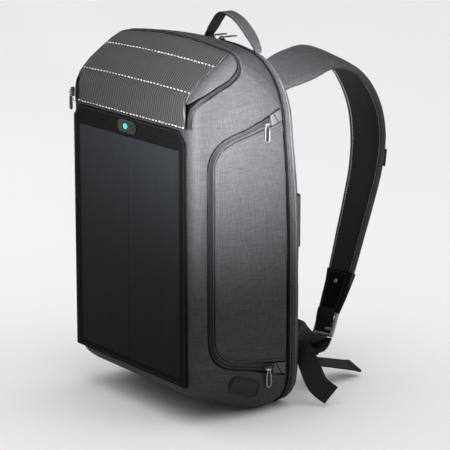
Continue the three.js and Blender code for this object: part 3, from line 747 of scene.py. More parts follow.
def lid_guides(height, half, count=60):
    """Guides across the lid at a height up its face."""
    start = 0.0
    for (y0, z0), (y1, z1) in zip(PROFILE, PROFILE[1:]):
        length = math.hypot(y1 - y0, z1 - z0)
        if height <= start + length or (y1, z1) == PROFILE[-1]:
            t = (height - start) / length
            y, z = y0 + t * (y1 - y0), z0 + t * (z1 - z0)
            ny, nz = -(z1 - z0) / length, (y1 - y0) / length
            break
        start += length
    return [((x, y + ny * 40, z + nz * 40), (x, y - ny * 40, z - nz * 40)) for x in np.linspace(-half, half, count)]


lid = skin("lid_cloth", "lid_panel", 1.5)
co, normal = coords(lid.data), coords(lid.data, "normal")
height = up_lid(co)
lap = np.zeros(len(co))
for seam in LID_SEAMS:
    lap += 0.9 * np.exp(-(((height - seam - 2.5) / 3.0) ** 2)) - 1.3 * np.exp(-(((height - seam + 1.2) / 1.6) ** 2))
lap += 1.6 * np.sin(np.pi * np.clip((height - 4) / 92, 0, 1)) * (1 - (co[:, 0] / (RIB_HALF * MM)) ** 4)
set_coords(lid.data, co + normal * (lap * MM)[:, None] * (normal[:, 2:] * 0.5 - normal[:, 1:2] > 0.1))
ruffle(lid, 0.5, 60, 7)
store_weave(lid.data, np.stack([coords(lid.data)[:, 0] / MM, height], axis=1))
dress(lid, "lid", "ribbed_fabric", stands_for=["lid_panel"])
lid_tree = tree_of(lid)
for number, row in enumerate([2.0] + [s + 2.6 for s in LID_SEAMS]):
    points, ups = lay(lid_guides(row, RIB_HALF - 2), lid_tree)
    beads = stitches(f"lid_stitches_{number + 1}", soften(points, 4), ups, 7.6, 4.4, 0.85, 0.4)
    dress(beads, "lid", "ribbed_fabric", PALE_THREAD)
for word, side in SIDES:
    cheek = skin(f"lid_side_cloth_{word}", f"lid_side_{word}", 1.5)
    dress(cheek, "lid", "coated_fabric", stands_for=[f"lid_side_{word}"])
    both = tree_of(cheek, lid)
    guides = []
    for step in np.linspace(3, 141, 70):
        guides.append(lid_guides(step, RIB_HALF, 2)[1 if side > 0 else 0])
    points, ups = lay(guides, both, 0.2)
    points, ups = resample(points, 2.5, ups)
    seam = sweep(f"lid_side_piping_{word}", soften(points, 6), soften(ups, 6), round_section(1.1, 8))
    # The paler cloth on the piping is partly a painted highlight along the lid's side seams.
    dress(seam, "lid", "coated_fabric", PALE_HIGHLIGHT_CLOTH)


def lid_zip_guides(shift):
    """Guides for the lid's zip: up the front, round the front corner, along the side and over the top."""
    half = LID_FRONT_HALF + shift
    seam = [(y + (shift if i > 3 else shift * 0.4), z - shift) for i, (y, z) in enumerate(LID_SEAM)]
    right = [((half, -60, z), (half, 60, z)) for z in np.linspace(396.5, 414 - shift, 8)]
    first = math.asin((half - 131) / 15)
    for turn in np.linspace(first + 0.12, math.pi / 2, 9):
        y = 18 - 15 * math.cos(turn)
        z = table(seam, y)
        right.append(((131 + 60 * math.sin(turn), 18 - 60 * math.cos(turn), z), (131, 18, z)))
    for y in np.linspace(20, LID_BACK_Y + shift - 1, 26):
        right.append(((200, y, table(seam, y)), (0, y, table(seam, y))))
    over = LID_BACK_Y + shift
    for turn in np.radians(np.linspace(28, 90, 10)):
        right.append(((119 + 60 * math.cos(turn), over, 459 + 60 * math.sin(turn)), (119, over, 459)))
    for x in np.linspace(112, 0, 16):
        right.append(((x, over, 560), (x, over, 400)))
    left = [((-a[0], *a[1:]), (-b[0], *b[1:])) for a, b in right[-2::-1]]
    return right + left


zip_tree = tree_of(NODES["lid_zip_tape"], NODES["body_shell"])
points, ups = lay(lid_zip_guides(3.0), zip_tree, 0.3)
points, ups = resample(points, 2, ups)
points, ups = soften(points, 8), unit(soften(ups, 12))
lips = [(-2.5, -0.2), (-2.3, 0.35), (-0.45, 0.8), (0, 0.15), (0.45, 0.8), (2.3, 0.35), (2.5, -0.2), (0, -0.8)]
dress(sweep("lid_zip_lips", points, ups, lips), "root", "black_fabric", ZIP_CLOTH)
body_tree = tree_of(body)
points, ups = lay(lid_zip_guides(7.6), body_tree, 0.1)
points, ups = resample(points, 2.5, ups)
rim = sweep("lid_zip_welt", soften(points, 8), unit(soften(ups, 10)), round_section(1.3, 8))
dress(rim, "root", "coated_fabric")
for word, side in SIDES:
    half_turn = np.linspace(math.pi, 2 * math.pi, 12)
    stop = [at(side * (136 + 3.3 * math.cos(t)), 2.5, 397.0 + 3.3 * math.sin(t)) for t in half_turn]
    end = sweep(f"lid_zip_stop_{word}", stop, [(0, -1, 0)] * len(stop), round_section(0.55, 8))
    dress(end, "root", "zip_metal", BRIGHT_METAL)

# --- Solar panel: a black cloth border with a sewn edge, and the two cells ---
for node, width in (("panel_border", 0.7), ("solar_cell_right", 0.35), ("solar_cell_left", 0.35), ("control_pod", 0.8),
                    ("power_button", 0.7), ("status_light", 0.5), ("charge_controller", 2.0), ("panel_stiffener", 0.6),
                    ("power_bank", 1.0), ("usb_port", 0.5)):
    soft_edge = NODES[node].modifiers.new("soft_edge", "BEVEL")
    soft_edge.width = width * MM
    soft_edge.segments = 3
    soft_edge.limit_method = "ANGLE"
    soft_edge.harden_normals = False
    shade_smooth(NODES[node].data, False)

border_path = [(-131, 56), (131, 56), (131, 376), (117, 390), (-117, 390), (-131, 376)]
edge = resample([at(x, 0.05, z) for x, z in border_path], 3, closed=True)
row = stitches("panel_stitches", edge, [(0, -1, 0)] * len(edge), *EDGE_SEAM, 0.3, 0.2, closed=True)
dress(row, "root", "black_fabric", BLACK_THREAD)
frame_path = [(-121, 61), (121, 61), (121, 367), (-121, 367)]
edge = resample([at(x, 0.1, z) for x, z in frame_path], 3, closed=True)
lip = sweep("cell_frame", edge, [(0, -1, 0)] * len(edge), flat_section(1.6, 0.7), closed=True)
dress(lip, "root", "black_fabric")
ring = [at(13 + 3.1 * math.cos(t), -2.05, 380 + 3.1 * math.sin(t)) for t in np.linspace(0, 2 * math.pi, 32)[:-1]]
mark = sweep("button_ring", ring, [(0, -1, 0)] * len(ring), round_section(0.28, 6), closed=True)
dress(mark, "button", "rubber", MATERIALS["black_plastic"])

oval = [at(-3 + 4.2 * math.cos(t), -1.6, 380 + 3.0 * math.sin(t)) for t in np.linspace(0, 2 * math.pi, 40)[:-1]]
halo = sweep("status_ring", oval, [(0, -1, 0)] * len(oval), flat_section(1.3, 0.5), closed=True)
dress(halo, "root", "led")

# --- USB cover: a soft rubber flap with a raised rim and a finger lip ---
flap = skin("usb_flap_rubber", "usb_cover", 0.9, 4)
dress(flap, "usb_flap", "rubber", stands_for=["usb_cover"])
flap_tree = tree_of(flap)
USB = (85, 43, math.radians(-20))


def usb_place(u, v):
    """(depth, height) of a place on the tilted USB cover."""
    return (
        USB[0] + u * math.cos(USB[2]) - v * math.sin(USB[2]),
        USB[1] + u * math.sin(USB[2]) + v * math.cos(USB[2]),
    )


def oblong(half_long, half_high):
    """A rounded rectangle's edge, with almost round ends."""
    return rounded_loop(-half_long, half_long, -half_high, half_high, half_high * 0.92)


points, ups = lay(side_guides([usb_place(u, v) for u, v in oblong(23.2, 10.7)], 1), flap_tree, 0.1)
dress(sweep("usb_flap_rim", points, ups, round_section(0.9, 8), closed=True), "usb_flap", "rubber")
points, ups = lay(side_guides([usb_place(u, -9.2) for u in np.linspace(-7, 7, 9)], 1), flap_tree, 0.6)
dress(sweep("usb_flap_lip", points, ups, flat_section(3.0, 1.6)), "usb_flap", "rubber")
points, ups = lay(side_guides([usb_place(u, v) for u, v in oblong(28.5, 16)], 1), body_tree, 0.0)
row = stitches("usb_patch_stitches", points, ups, *EDGE_SEAM, 0.35, closed=True)
dress(row, "root", "coated_fabric", DARK_THREAD)


# --- Back seam, laptop zip and cover ---
FAR = 420  # outside the whole bag
MIDDLE_Z = 240
AROUND_STEPS = 260


def around(y, tree, start=-90.0, end=270.0, lift=0.0):
    """The outside of the form at a depth, round from below, as points and normals."""
    guides = []
    for turn in np.radians(np.linspace(start, end, AROUND_STEPS)):
        guides.append(((FAR * math.cos(turn), y, MIDDLE_Z + FAR * math.sin(turn)), (0, y, MIDDLE_Z)))
    return lay(guides, tree, lift)


cover = skin("laptop_cover_cloth", "laptop_cover", 2.2)
ruffle(cover, 0.7, 65, 9, low_height=0.6)
dress(cover, "laptop_back", "coated_fabric", stands_for=["laptop_cover"])
cover_tree = tree_of(cover)

piping_tree = tree_of(NODES["back_piping"])
points, ups = around(157.4, piping_tree, lift=-0.9)
points, ups = resample(points, 3, ups, closed=True)
points, ups = soften(points, 10, True), unit(soften(ups, 10, True))
points[:, 2] = np.maximum(points[:, 2], 2.1 * MM)
piping = sweep("back_seam_piping", points, ups, round_section(2.1, 12), closed=True)
dress(piping, "root", "black_fabric", stands_for=["back_piping"])
for name, y, tree, piece_body in (
    ("back_seam_stitches", 152.6, body_tree, "root"),
    ("cover_stitches", 173.4, cover_tree, "laptop_back"),
):
    points, ups = around(y, tree, start=-50, end=230)
    row = stitches(name, soften(points, 6), ups, *SEAM, 0.38)
    dress(row, piece_body, "coated_fabric", DARK_THREAD)
points, ups = around(161.2, tree_of(NODES["laptop_zip_tape"]), start=-62, end=242)
points, ups = resample(points, 2.0, ups)
flap_strip = sweep("laptop_zip_flap", soften(points, 8), unit(soften(ups, 8)), flat_section(3.6, 1.4))
dress(flap_strip, "root", "black_fabric", MATERIALS["coated_fabric"])
points, ups = around(169.5, cover_tree, lift=0.1)
points, ups = resample(points, 3, ups, closed=True)
points, ups = soften(points, 10, True), unit(soften(ups, 10, True))
points[:, 2] = np.maximum(points[:, 2], 1.2 * MM)
edging = sweep("cover_piping", points, ups, round_section(1.2, 8), closed=True)
# The paler cloth on the cover's piping is partly a painted highlight.
dress(edging, "laptop_back", "coated_fabric", PALE_HIGHLIGHT_CLOTH)

# --- Back pads: foam under mesh, puffed by cloth pressure, with air channels ---
PAD_CHANNELS = (130, 188, 246, 304, 362)
PAD_CAP = 4.0


def puffed(obj, frames=16, pressure=4.0, cap=PAD_CAP):
    """Swells a closed mesh with cloth pressure and leaves no modifier on it."""
    rest = coords(obj.data)
    cloth = obj.modifiers.new("puff", "CLOTH")
    cloth.settings.use_pressure = True
    cloth.settings.uniform_pressure_force = pressure
    cloth.settings.effector_weights.gravity = 0
    cloth.settings.quality = 5
    for number in range(1, frames + 1):
        scene.frame_set(number)
    applied(obj)
    scene.frame_set(1)
    moved = coords(obj.data) - rest
    far = np.linalg.norm(moved, axis=1, keepdims=True)
    moved *= np.minimum(1, cap * MM / np.maximum(far, 1e-9))
    set_coords(obj.data, rest + moved)
    return obj


for word, side in SIDES:
    pad = skin(f"back_pad_mesh_{word}", f"back_pad_{word}", 4.0, 3)
    low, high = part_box(f"back_pad_{word}")
    centre = (low + high) / 2
    co = coords(pad.data)
    co[:, 0] = centre.x + (co[:, 0] - centre.x) * 0.97
    co[:, 2] = centre.z + (co[:, 2] - centre.z) * 0.99
    co[:, 1] = low.y + (co[:, 1] - low.y) * 0.8
    set_coords(pad.data, co)
    puffed(pad)
    finer = pad.modifiers.new("finer", "SUBSURF")
    finer.levels = finer.render_levels = 1
    applied(pad)
    co = coords(pad.data)
    depth = np.clip((co[:, 1] - low.y) / (high.y - low.y), 0, 1.3)
    for channel in PAD_CHANNELS:
        co[:, 1] -= depth * 4.5 * MM * np.exp(-(((co[:, 2] / MM - channel) / 4.0) ** 2))
    co[:, 1] = np.clip(co[:, 1], low.y - 0.2 * MM, high.y + 3 * MM)
    set_coords(pad.data, co)
    shade_smooth(pad.data)
    dress(pad, "laptop_back", "mesh_fabric", stands_for=[f"back_pad_{word}"])
    x0, x1 = (14, 106) if side > 0 else (-106, -14)
    loop = resample([at(x, 179.2, z) for x, z in rounded_loop(x0, x1, 66, 424, 26)], 4, closed=True)
    binding = sweep(f"back_pad_binding_{word}", loop, [(0, 1, 0)] * len(loop), round_section(1.5, 8), closed=True)
    dress(binding, "laptop_back", "black_fabric")

# --- Luggage band, handle and webbing ---
BAND_ROUTE = [(-128, 0), (-124, 12), (-114, 18), (-60, 18.6), (0, 18.6), (60, 18.6), (114, 18), (124, 12), (128, 0)]
COVER_BACK_Y = 178
route = [at(x, COVER_BACK_Y + 1.2 + y, 250) for x, y in BAND_ROUTE]
route = curve([at(-131, COVER_BACK_Y - 4, 250)] + route + [at(131, COVER_BACK_Y - 4, 250)], 80)
band_path = np.array([tuple(p) for p in route])
ups = np.cross(headings(band_path, False), [(0, 0, 1)] * len(band_path)) * -1
luggage = sweep("luggage_band_webbing", band_path, ups, flat_section(70, 1.8))
dress(luggage, "laptop_back", "webbing", MATERIALS["coated_fabric"], stands_for=["luggage_band"])
for name, z in (("top", 281), ("bottom", 219)):
    line = band_path.copy()
    line[:, 2] = z * MM
    row = stitches(f"luggage_band_stitches_{name}", line + unit(ups) * 0.9 * MM, ups, *SEAM, 0.35)
    dress(row, "laptop_back", "webbing", DARK_THREAD)

HANDLE = {"y": 169, "foot": 476, "half": 58, "rise": 40, "width": 18, "thick": 3.5}
HANDLE_ROUTE = [(-1, 0), (-0.8, 0.33), (-0.6, 0.66), (-0.42, 0.91), (-0.22, 1), (0, 0.97), (0.24, 0.87), (0.5, 0.66),
                (0.8, 0.32), (1, 0)]
route = [at(x * HANDLE["half"], HANDLE["y"], HANDLE["foot"] + z * HANDLE["rise"]) for x, z in HANDLE_ROUTE]
route = curve([at(-60, 169, 470)] + route + [at(60, 169, 470)], 60)
path = np.array([tuple(p) for p in route])
ups = np.cross([(0, 1, 0)] * len(path), headings(path, False))
ups *= np.sign(np.sum(ups * (path - np.array(at(0, 169, 440))), axis=1))[:, None]
widths = [table([(0, 0.6), (0.1, 0.7), (0.2, 1), (0.8, 1), (0.9, 0.7), (1, 0.6)], n / 60) for n in range(61)]
grip = sweep("handle_grip", path, ups, flat_section(HANDLE["width"], HANDLE["thick"], 1.6, 4), widths=widths)
grip.data.materials.append(MATERIALS["coated_fabric"])
grip.data.materials.append(MATERIALS["black_fabric"])
up_rows = np.array(ups)
for face in grip.data.polygons:
    nearest = int(np.argmin(np.linalg.norm(path - np.array(face.center), axis=1)))
    face.material_index = int(face.normal.dot(Vector(up_rows[nearest])) < 0.3)
dress(grip, "handle", "webbing", *grip.data.materials, stands_for=["carry_handle"])
for name, offset in (("front", -7.2), ("back", 7.2)):
    line = path + np.array([0, 1, 0]) * np.array(widths)[:, None] * offset * MM + unit(ups) * 1.7 * MM
    row = stitches(f"handle_stitches_{name}", line[6:-6], ups[6:-6], 3.2, 2.1, 0.35)
    dress(row, "handle", "webbing", DARK_THREAD)

STRAP_ROOT = (75, 179)
STRAPS = {
    "right": {
        "swing": 10,
        "route": [(0, 437), (10, 439), (22, 443), (56, 451), (90, 457), (118, 452), (146, 437), (172, 410), (192, 372),
                  (199, 330), (194, 286), (180, 240), (164, 195), (150, 155), (140, 128)],
        "patch": [(147, 146), (140, 130), (129, 109), (120, 93)],
        "buckle": [(119.8, 92.6), (109, 61)],
        "webbing": [(54.4, 293, 97), (54.6, 290, 86), (55.3, 288, 72), (57, 282.5, 59), (74, 258, 60), (92, 228, 73),
                    (112, 204, 88), (127, 186.5, 101), (129, 178, 105)],
        "webbing_across": ((0.95, 0.3, 0), (0.2, 0.3, 0.93)),
        "tail": [(54.4, 287.5, 57), (57, 281, 52), (70, 263, 50), (84, 241, 52), (90, 233, 46), (86, 246, 37),
                 (80, 272, 29), (70, 332, 11)],
        "tail_across": ((0.95, 0.3, 0), (0.94, 0.05, -0.33)),
    },
    "left": {
        "swing": -18,
        "route": [(0, 438), (10, 439), (22, 440), (40, 433), (66, 418), (98, 384), (124, 342), (140, 294), (148, 244),
                  (147, 194), (138, 148), (124, 114), (106, 87), (78, 66)],
        "patch": [(92, 76), (80, 67), (67, 59), (56, 52.6)],
        "buckle": [(55, 52.4), (26, 37)],
        "webbing": [(86.5, 212, 41), (83, 199, 35), (90, 196.5, 39), (98, 197, 56), (112, 197, 80), (127, 187, 110),
                    (129, 178, 113)],
        "webbing_across": ((0.95, -0.3, 0), (0.86, 0, -0.5)),
        "tail": [(82.6, 201.5, 34), (84, 206, 28), (86, 211, 17), (92, 226, 6), (104, 252, 3), (118, 285, 3)],
        "tail_across": ((0.95, -0.3, 0), (0.9, 0.4, 0)),
    },
}
BELT = {"route": [(131, 178, 76), (131, 184, 75), (140, 188, 71), (150, 190, 56), (159, 198, 30), (167, 214, 14)],
        "across": ((0, 0.1, 1), (0.2, 0.6, 0.78))}
STRAP_TILT = [(0, 24), (0.12, 25), (0.22, 19), (0.32, 14), (0.5, 6), (0.7, 0), (1, 0)]
STRAP_TAPER = [(0, 56), (0.15, 70), (0.6, 64), (0.85, 50), (1, 42)]
STRAP_STEPS = 120
WEBBING_WIDTH = 29


def strap_section(width, face, belly):
    """A padded strap's section: a crowned outer face, wrapped edges, and an inner mesh panel set in from them."""
    w = width / 2
    outer = [(w * s, face * (1 - abs(s) ** 3.5) + 1.0) for s in np.linspace(0.96, -0.96, 17)]
    left = [(-w, 0.2), (-w * 0.985, -2.6)]
    left += [(-w * u, -belly * v) for u, v in ((0.93, 0.78), (0.86, 0.92), (0.815, 0.80))]
    inner = [(w * s, -belly * (1 - 0.32 * abs(s / 0.8) ** 4)) for s in np.linspace(-0.79, 0.79, 15)]
    right = [(-u, v) for u, v in left[::-1]]
    return outer + left + inner + right, (17 + len(left), 17 + len(left) + 14)


for word, side in SIDES:
    strap = STRAPS[word]
    turn = math.radians(strap["swing"])

    def in_plane(row):
        return at(side * (STRAP_ROOT[0] - row[0] * math.sin(turn)), STRAP_ROOT[1] + row[0] * math.cos(turn), row[1])

    flat = Vector((side * math.cos(turn), math.sin(turn), 0)) * side
    path = np.array([tuple(p) for p in curve([in_plane(r) for r in strap["route"]], STRAP_STEPS)])
    spans = len(strap["route"]) - 1
    share = np.clip((np.arange(STRAP_STEPS + 1) / STRAP_STEPS * spans - 1) / (spans - 1), 0, 1)
    widths = np.array([table(STRAP_TAPER, s) for s in share]) / 70
    widths[:4] *= np.linspace(0.9, 1, 4)
    leans = np.radians([table(STRAP_TILT, s) for s in share])
    across = np.array([tuple((flat * side * math.cos(a) + Vector((0, 0, -math.sin(a)))) * side) for a in leans])
    ahead = headings(path, False)
    ups = unit(np.cross(across, ahead))
    outside = np.array(at(0, 150, 300))
    if np.mean(np.sum(ups * (path - outside), axis=1)) < 0:
        ups = -ups
    section, (first, last) = strap_section(70, 3.6, 7.0)
    pad = sweep(f"strap_pad_cloth_{word}", path, ups, section, widths=widths)
    count = len(section)
    pad.data.materials.append(MATERIALS["coated_fabric"])
    pad.data.materials.append(STRAP_MESH)
    for number, face in enumerate(pad.data.polygons):
        if number < STRAP_STEPS * count:
            face.material_index = int(first <= number % count < last)
    dress(pad, f"strap_{word}", "mesh_fabric", *pad.data.materials, stands_for=[f"strap_pad_{word}"])
    sides = unit(np.cross(headings(path, False), ups))
    for name, share_across in (("near", 0.80), ("far", -0.80)):
        line = path + sides * (35 * share_across * widths)[:, None] * MM - ups * 5.0 * MM
        row = stitches(f"strap_stitches_{name}_{word}", line[3:], -ups[3:], 3.2, 2.2, 0.8, 0.2)
        dress(row, f"strap_{word}", "coated_fabric", PALE_THREAD)
    for name, share_across in (("near", 0.84), ("far", -0.84)):
        line = path + sides * (35 * share_across * widths)[:, None] * MM + ups * 2.6 * MM
        row = stitches(f"strap_face_stitches_{name}_{word}", line[9:], ups[9:], *SEAM, 0.4)
        dress(row, f"strap_{word}", "coated_fabric", DARK_THREAD)
    middle = int(STRAP_STEPS * (0.69 if side > 0 else 0.5))
    over = [
        path[middle] + sides[middle] * s * MM * widths[middle] + ups[middle] * (5.2 - 2.2 * abs(s / 35) ** 4) * MM
        for s in np.linspace(-35.5, 35.5, 21)
    ]
    keeper = sweep(f"strap_keeper_{word}", over, [ups[middle]] * 21, flat_section(24, 1.8))
    dress(keeper, f"strap_{word}", "webbing")

    patch = np.array([tuple(p) for p in curve([in_plane(r) for r in strap["patch"]], 16)])
    level = np.array(flat * side) * side
    ups_patch = unit(np.cross([level] * len(patch), headings(patch, False)))
    if np.dot(np.mean(ups_patch, axis=0), ups[-1]) < 0:
        ups_patch = -ups_patch
    widths_patch = np.linspace(1, 0.8, len(patch))
    thicks = np.linspace(6.8, 3.1, len(patch))
    end = sweep(f"strap_end_patch_{word}", patch - ups_patch * np.linspace(1.6, 0, len(patch))[:, None] * MM, ups_patch,
                flat_section(44, 2.0, 0.9, 4), widths=widths_patch, heights=thicks)
    dress(end, f"strap_{word}", "black_fabric", stands_for=[f"strap_end_{word}"])
    sides_patch = unit(np.cross(headings(patch, False), ups_patch))
    for name, face_side in (("inner", -1), ("outer", 1)):
        half = 16.5 * widths_patch[:, None] * MM
        lift = ups_patch * (face_side * (thicks + 0.1) - np.linspace(1.6, 0, len(patch)))[:, None] * MM
        loop = np.vstack([(patch + sides_patch * half + lift)[1:-1], (patch - sides_patch * half + lift)[-2:0:-1]])
        facing = np.vstack([ups_patch[1:-1], ups_patch[-2:0:-1]]) * face_side
        loop, facing = resample(loop, 3, facing, closed=True)
        row = stitches(f"strap_end_stitches_{name}_{word}", loop, facing, 3.0, 2.1, 0.4, closed=True)
        dress(row, f"strap_{word}", "black_fabric", TAB_CLOTH)

    stud = patch[5] - ups_patch[5] * 7.6 * MM
    onward = headings(patch, False)[5]
    disc = [
        stud + (sides_patch[5] * math.cos(t) + onward * math.sin(t)) * 2.2 * MM
        for t in np.linspace(0, 2 * math.pi, 20)[:-1]
    ]
    facing = [tuple(ups_patch[5])] * len(disc)
    rivet = sweep(f"strap_end_rivet_{word}", disc, facing, round_section(0.9, 8), closed=True)
    dress(rivet, f"strap_{word}", "zip_metal", BRIGHT_METAL)

    start, stop = (Vector(in_plane(r)) for r in strap["buckle"])
    along = (stop - start).normalized()
    out = Vector(np.cross(level, along)).normalized()
    if out.dot(Vector(ups_patch[-1])) < 0:
        out = -out
    length = (stop - start).length
    parts = []
    for edge in (-1, 1):
        beside = Vector(level) * edge * 15.8 * MM
        rail = [start + along * length * t + beside - out * (1.8 * t * t) * MM for t in np.linspace(0, 1, 12)]
        parts.append(sweep(f"rail{edge}", rail, [out] * 12, flat_section(4.2, 5.2, 1.4)))
    bars = ((0.07, 4.0, 4.4), (0.40, 6.5, 3.6), (0.70, 5.0, 3.4), (0.96, 4.6, 4.8))  # place, width, height
    for number, (t, wide, high) in enumerate(bars):
        middle = start + along * length * t - out * (1.8 * t * t) * MM
        bar = [middle + Vector(level) * s * MM for s in np.linspace(-16, 16, 7)]
        parts.append(sweep(f"bar{number}", bar, [out] * 7, flat_section(wide, high, 1.5)))
    joined = bmesh.new()
    for part in parts:
        joined.from_mesh(part.data)
        bpy.data.objects.remove(part)
    mesh = bpy.data.meshes.new(f"ladder_lock_frame_{word}")
    joined.to_mesh(mesh)
    joined.free()
    shade_smooth(mesh)
    lock = link(f"ladder_lock_frame_{word}", mesh)
    dress(lock, f"strap_{word}", "buckle_plastic", stands_for=[f"ladder_lock_{word}"])

    def strip(name, rows, across_pair, piece_body, stands_for, steps, hem):
        """Webbing along a route, with a doubled end where hem millimetres are folded back and sewn."""
        path = np.array([tuple(p) for p in curve([at(side * x, y, z) for x, y, z in rows], steps)])
        a, b = (np.array((side * v[0], v[1], v[2])) for v in across_pair)
        rows_across = np.array([a + (b - a) * n / steps for n in range(steps + 1)])
        ahead = headings(path, False)
        ups = unit(np.cross(rows_across, ahead))
        run = np.concatenate([[0], np.cumsum(np.linalg.norm(np.diff(path, axis=0), axis=1))]) / MM
        heights = np.where(run > run[-1] - hem, 1.9, 1.0)
        made = sweep(name, path, ups, flat_section(WEBBING_WIDTH, 2.0), heights=heights)
        dress(made, piece_body, "webbing", stands_for=stands_for)
        if hem:
            sides = unit(np.cross(ahead, ups))
            here = int(np.searchsorted(run, run[-1] - hem + 2.5))
            for number, up_sign in enumerate((1, -1)):
                face = path[here] + ups[here] * up_sign * 1.9 * MM
                line = [face + sides[here] * s * MM for s in np.linspace(-12, 12, 9)]
                row = stitches(f"{name}_hem_{number + 1}", line, [ups[here] * up_sign] * 9, 2.4, 1.8, 0.35)
                dress(row, piece_body, "webbing", DARK_THREAD)

    strap_body = f"strap_{word}"
    for node, rows, across_pair, piece_body, steps, hem in (
        ("lower_webbing", strap["webbing"], strap["webbing_across"], strap_body, 60, 0),
        ("webbing_tail", strap["tail"], strap["tail_across"], strap_body, 80, 9),
        ("belt_webbing", BELT["route"], BELT["across"], "laptop_back", 50, 9),
    ):
        strip(f"{node}_strip_{word}", rows, across_pair, piece_body, [f"{node}_{word}"], steps, hem)

    # The cloth wing that the webbing is sewn to.
    corners = [at(side * 131, 171, 84), at(side * 131, 171, 138), at(side * 123, 190, 112), at(side * 124, 190, 92)]
    points, faces = [], []
    for u in np.linspace(0, 1, 13):
        low_end, high_end = corners[0].lerp(corners[3], u), corners[1].lerp(corners[2], u)
        for v in np.linspace(0, 1, 13):
            points.append(low_end.lerp(high_end, v))
    for i in range(12):
        for j in range(12):
            faces.append((i * 13 + j, i * 13 + j + 1, (i + 1) * 13 + j + 1, (i + 1) * 13 + j))
    wing = build(f"webbing_wing_{word}", points, faces, outward=False)
    thick = wing.modifiers.new("thick", "SOLIDIFY")
    thick.thickness = 2.2 * MM
    thick.offset = 0
    applied(wing)
    shade_smooth(wing.data)
    dress(wing, "laptop_back", "coated_fabric")

# --- Zip sliders and pulls ---
PULL = {"length": 25, "width": 8, "thick": 1.4, "neck": 5}
ZIPS = [("lid", "lid_slider_body", "lid_pull_body", (0, 0, 1), (0, -1, 0), (0, 0, -1))]
for word, side in SIDES:
    ZIPS.append((f"laptop_{word}", f"laptop_slider_{word}", f"laptop_pull_{word}", (1, 0, 0), (0, 0, 1), (0, 1, 0)))
    for level, slope, lean in (("upper", 0.2193, -0.129), ("lower", -0.137, 0.0)):
        along = (side * lean, 1, slope)
        bodies = (f"{level}_slider_{word}", f"{level}_pull_{word}")
        ZIPS.append((f"{level}_{word}", *bodies, along, (side, 0, 0), (0, 0, -1)))


def slider_outline(grow):
    """A slider plate seen from outside: a wide nose, a waist and a narrower tail."""
    half = [(-6.5, 1.9), (-5.2, 2.6), (-2.5, 2.3), (0.5, 2.6), (3.4, 3.2), (5.6, 3.0), (6.5, 1.8)]
    upper = [(x + grow * np.sign(x), y + grow) for x, y in half]
    return upper + [(x, -y) for x, y in upper[::-1]]


def prism(name, outline, z0, z1, frame_matrix, edge=0.4):
    """A plate from an outline, with rounded edges, placed by a frame."""
    n = len(outline)
    points = [(x, y, z) for z in (z0, z1) for x, y in outline]
    faces = [tuple(range(n))[::-1], tuple(range(n, 2 * n))]
    faces += [(i, (i + 1) % n, n + (i + 1) % n, n + i) for i in range(n)]
    made = build(name, [frame_matrix @ (Vector(p) * MM) for p in points], faces)
    soft_edge = made.modifiers.new("soft_edge", "BEVEL")
    soft_edge.width = edge * MM
    soft_edge.segments = 2
    return applied(made)


def joined_mesh(name, parts):
    """Several pieces as one, keeping each one's material."""
    whole = bmesh.new()
    materials = []
    for part in parts:
        start = len(whole.faces)
        whole.from_mesh(part.data)
        whole.faces.ensure_lookup_table()
        material = part.data.materials[0]
        if material not in materials:
            materials.append(material)
        for face in whole.faces[start:]:
            face.material_index = materials.index(material)
        bpy.data.objects.remove(part)
    mesh = bpy.data.meshes.new(name)
    whole.to_mesh(mesh)
    whole.free()
    for material in materials:
        mesh.materials.append(material)
    return link(name, mesh)


def painted(obj, material):
    obj.data.materials.clear()
    obj.data.materials.append(material)
    return obj


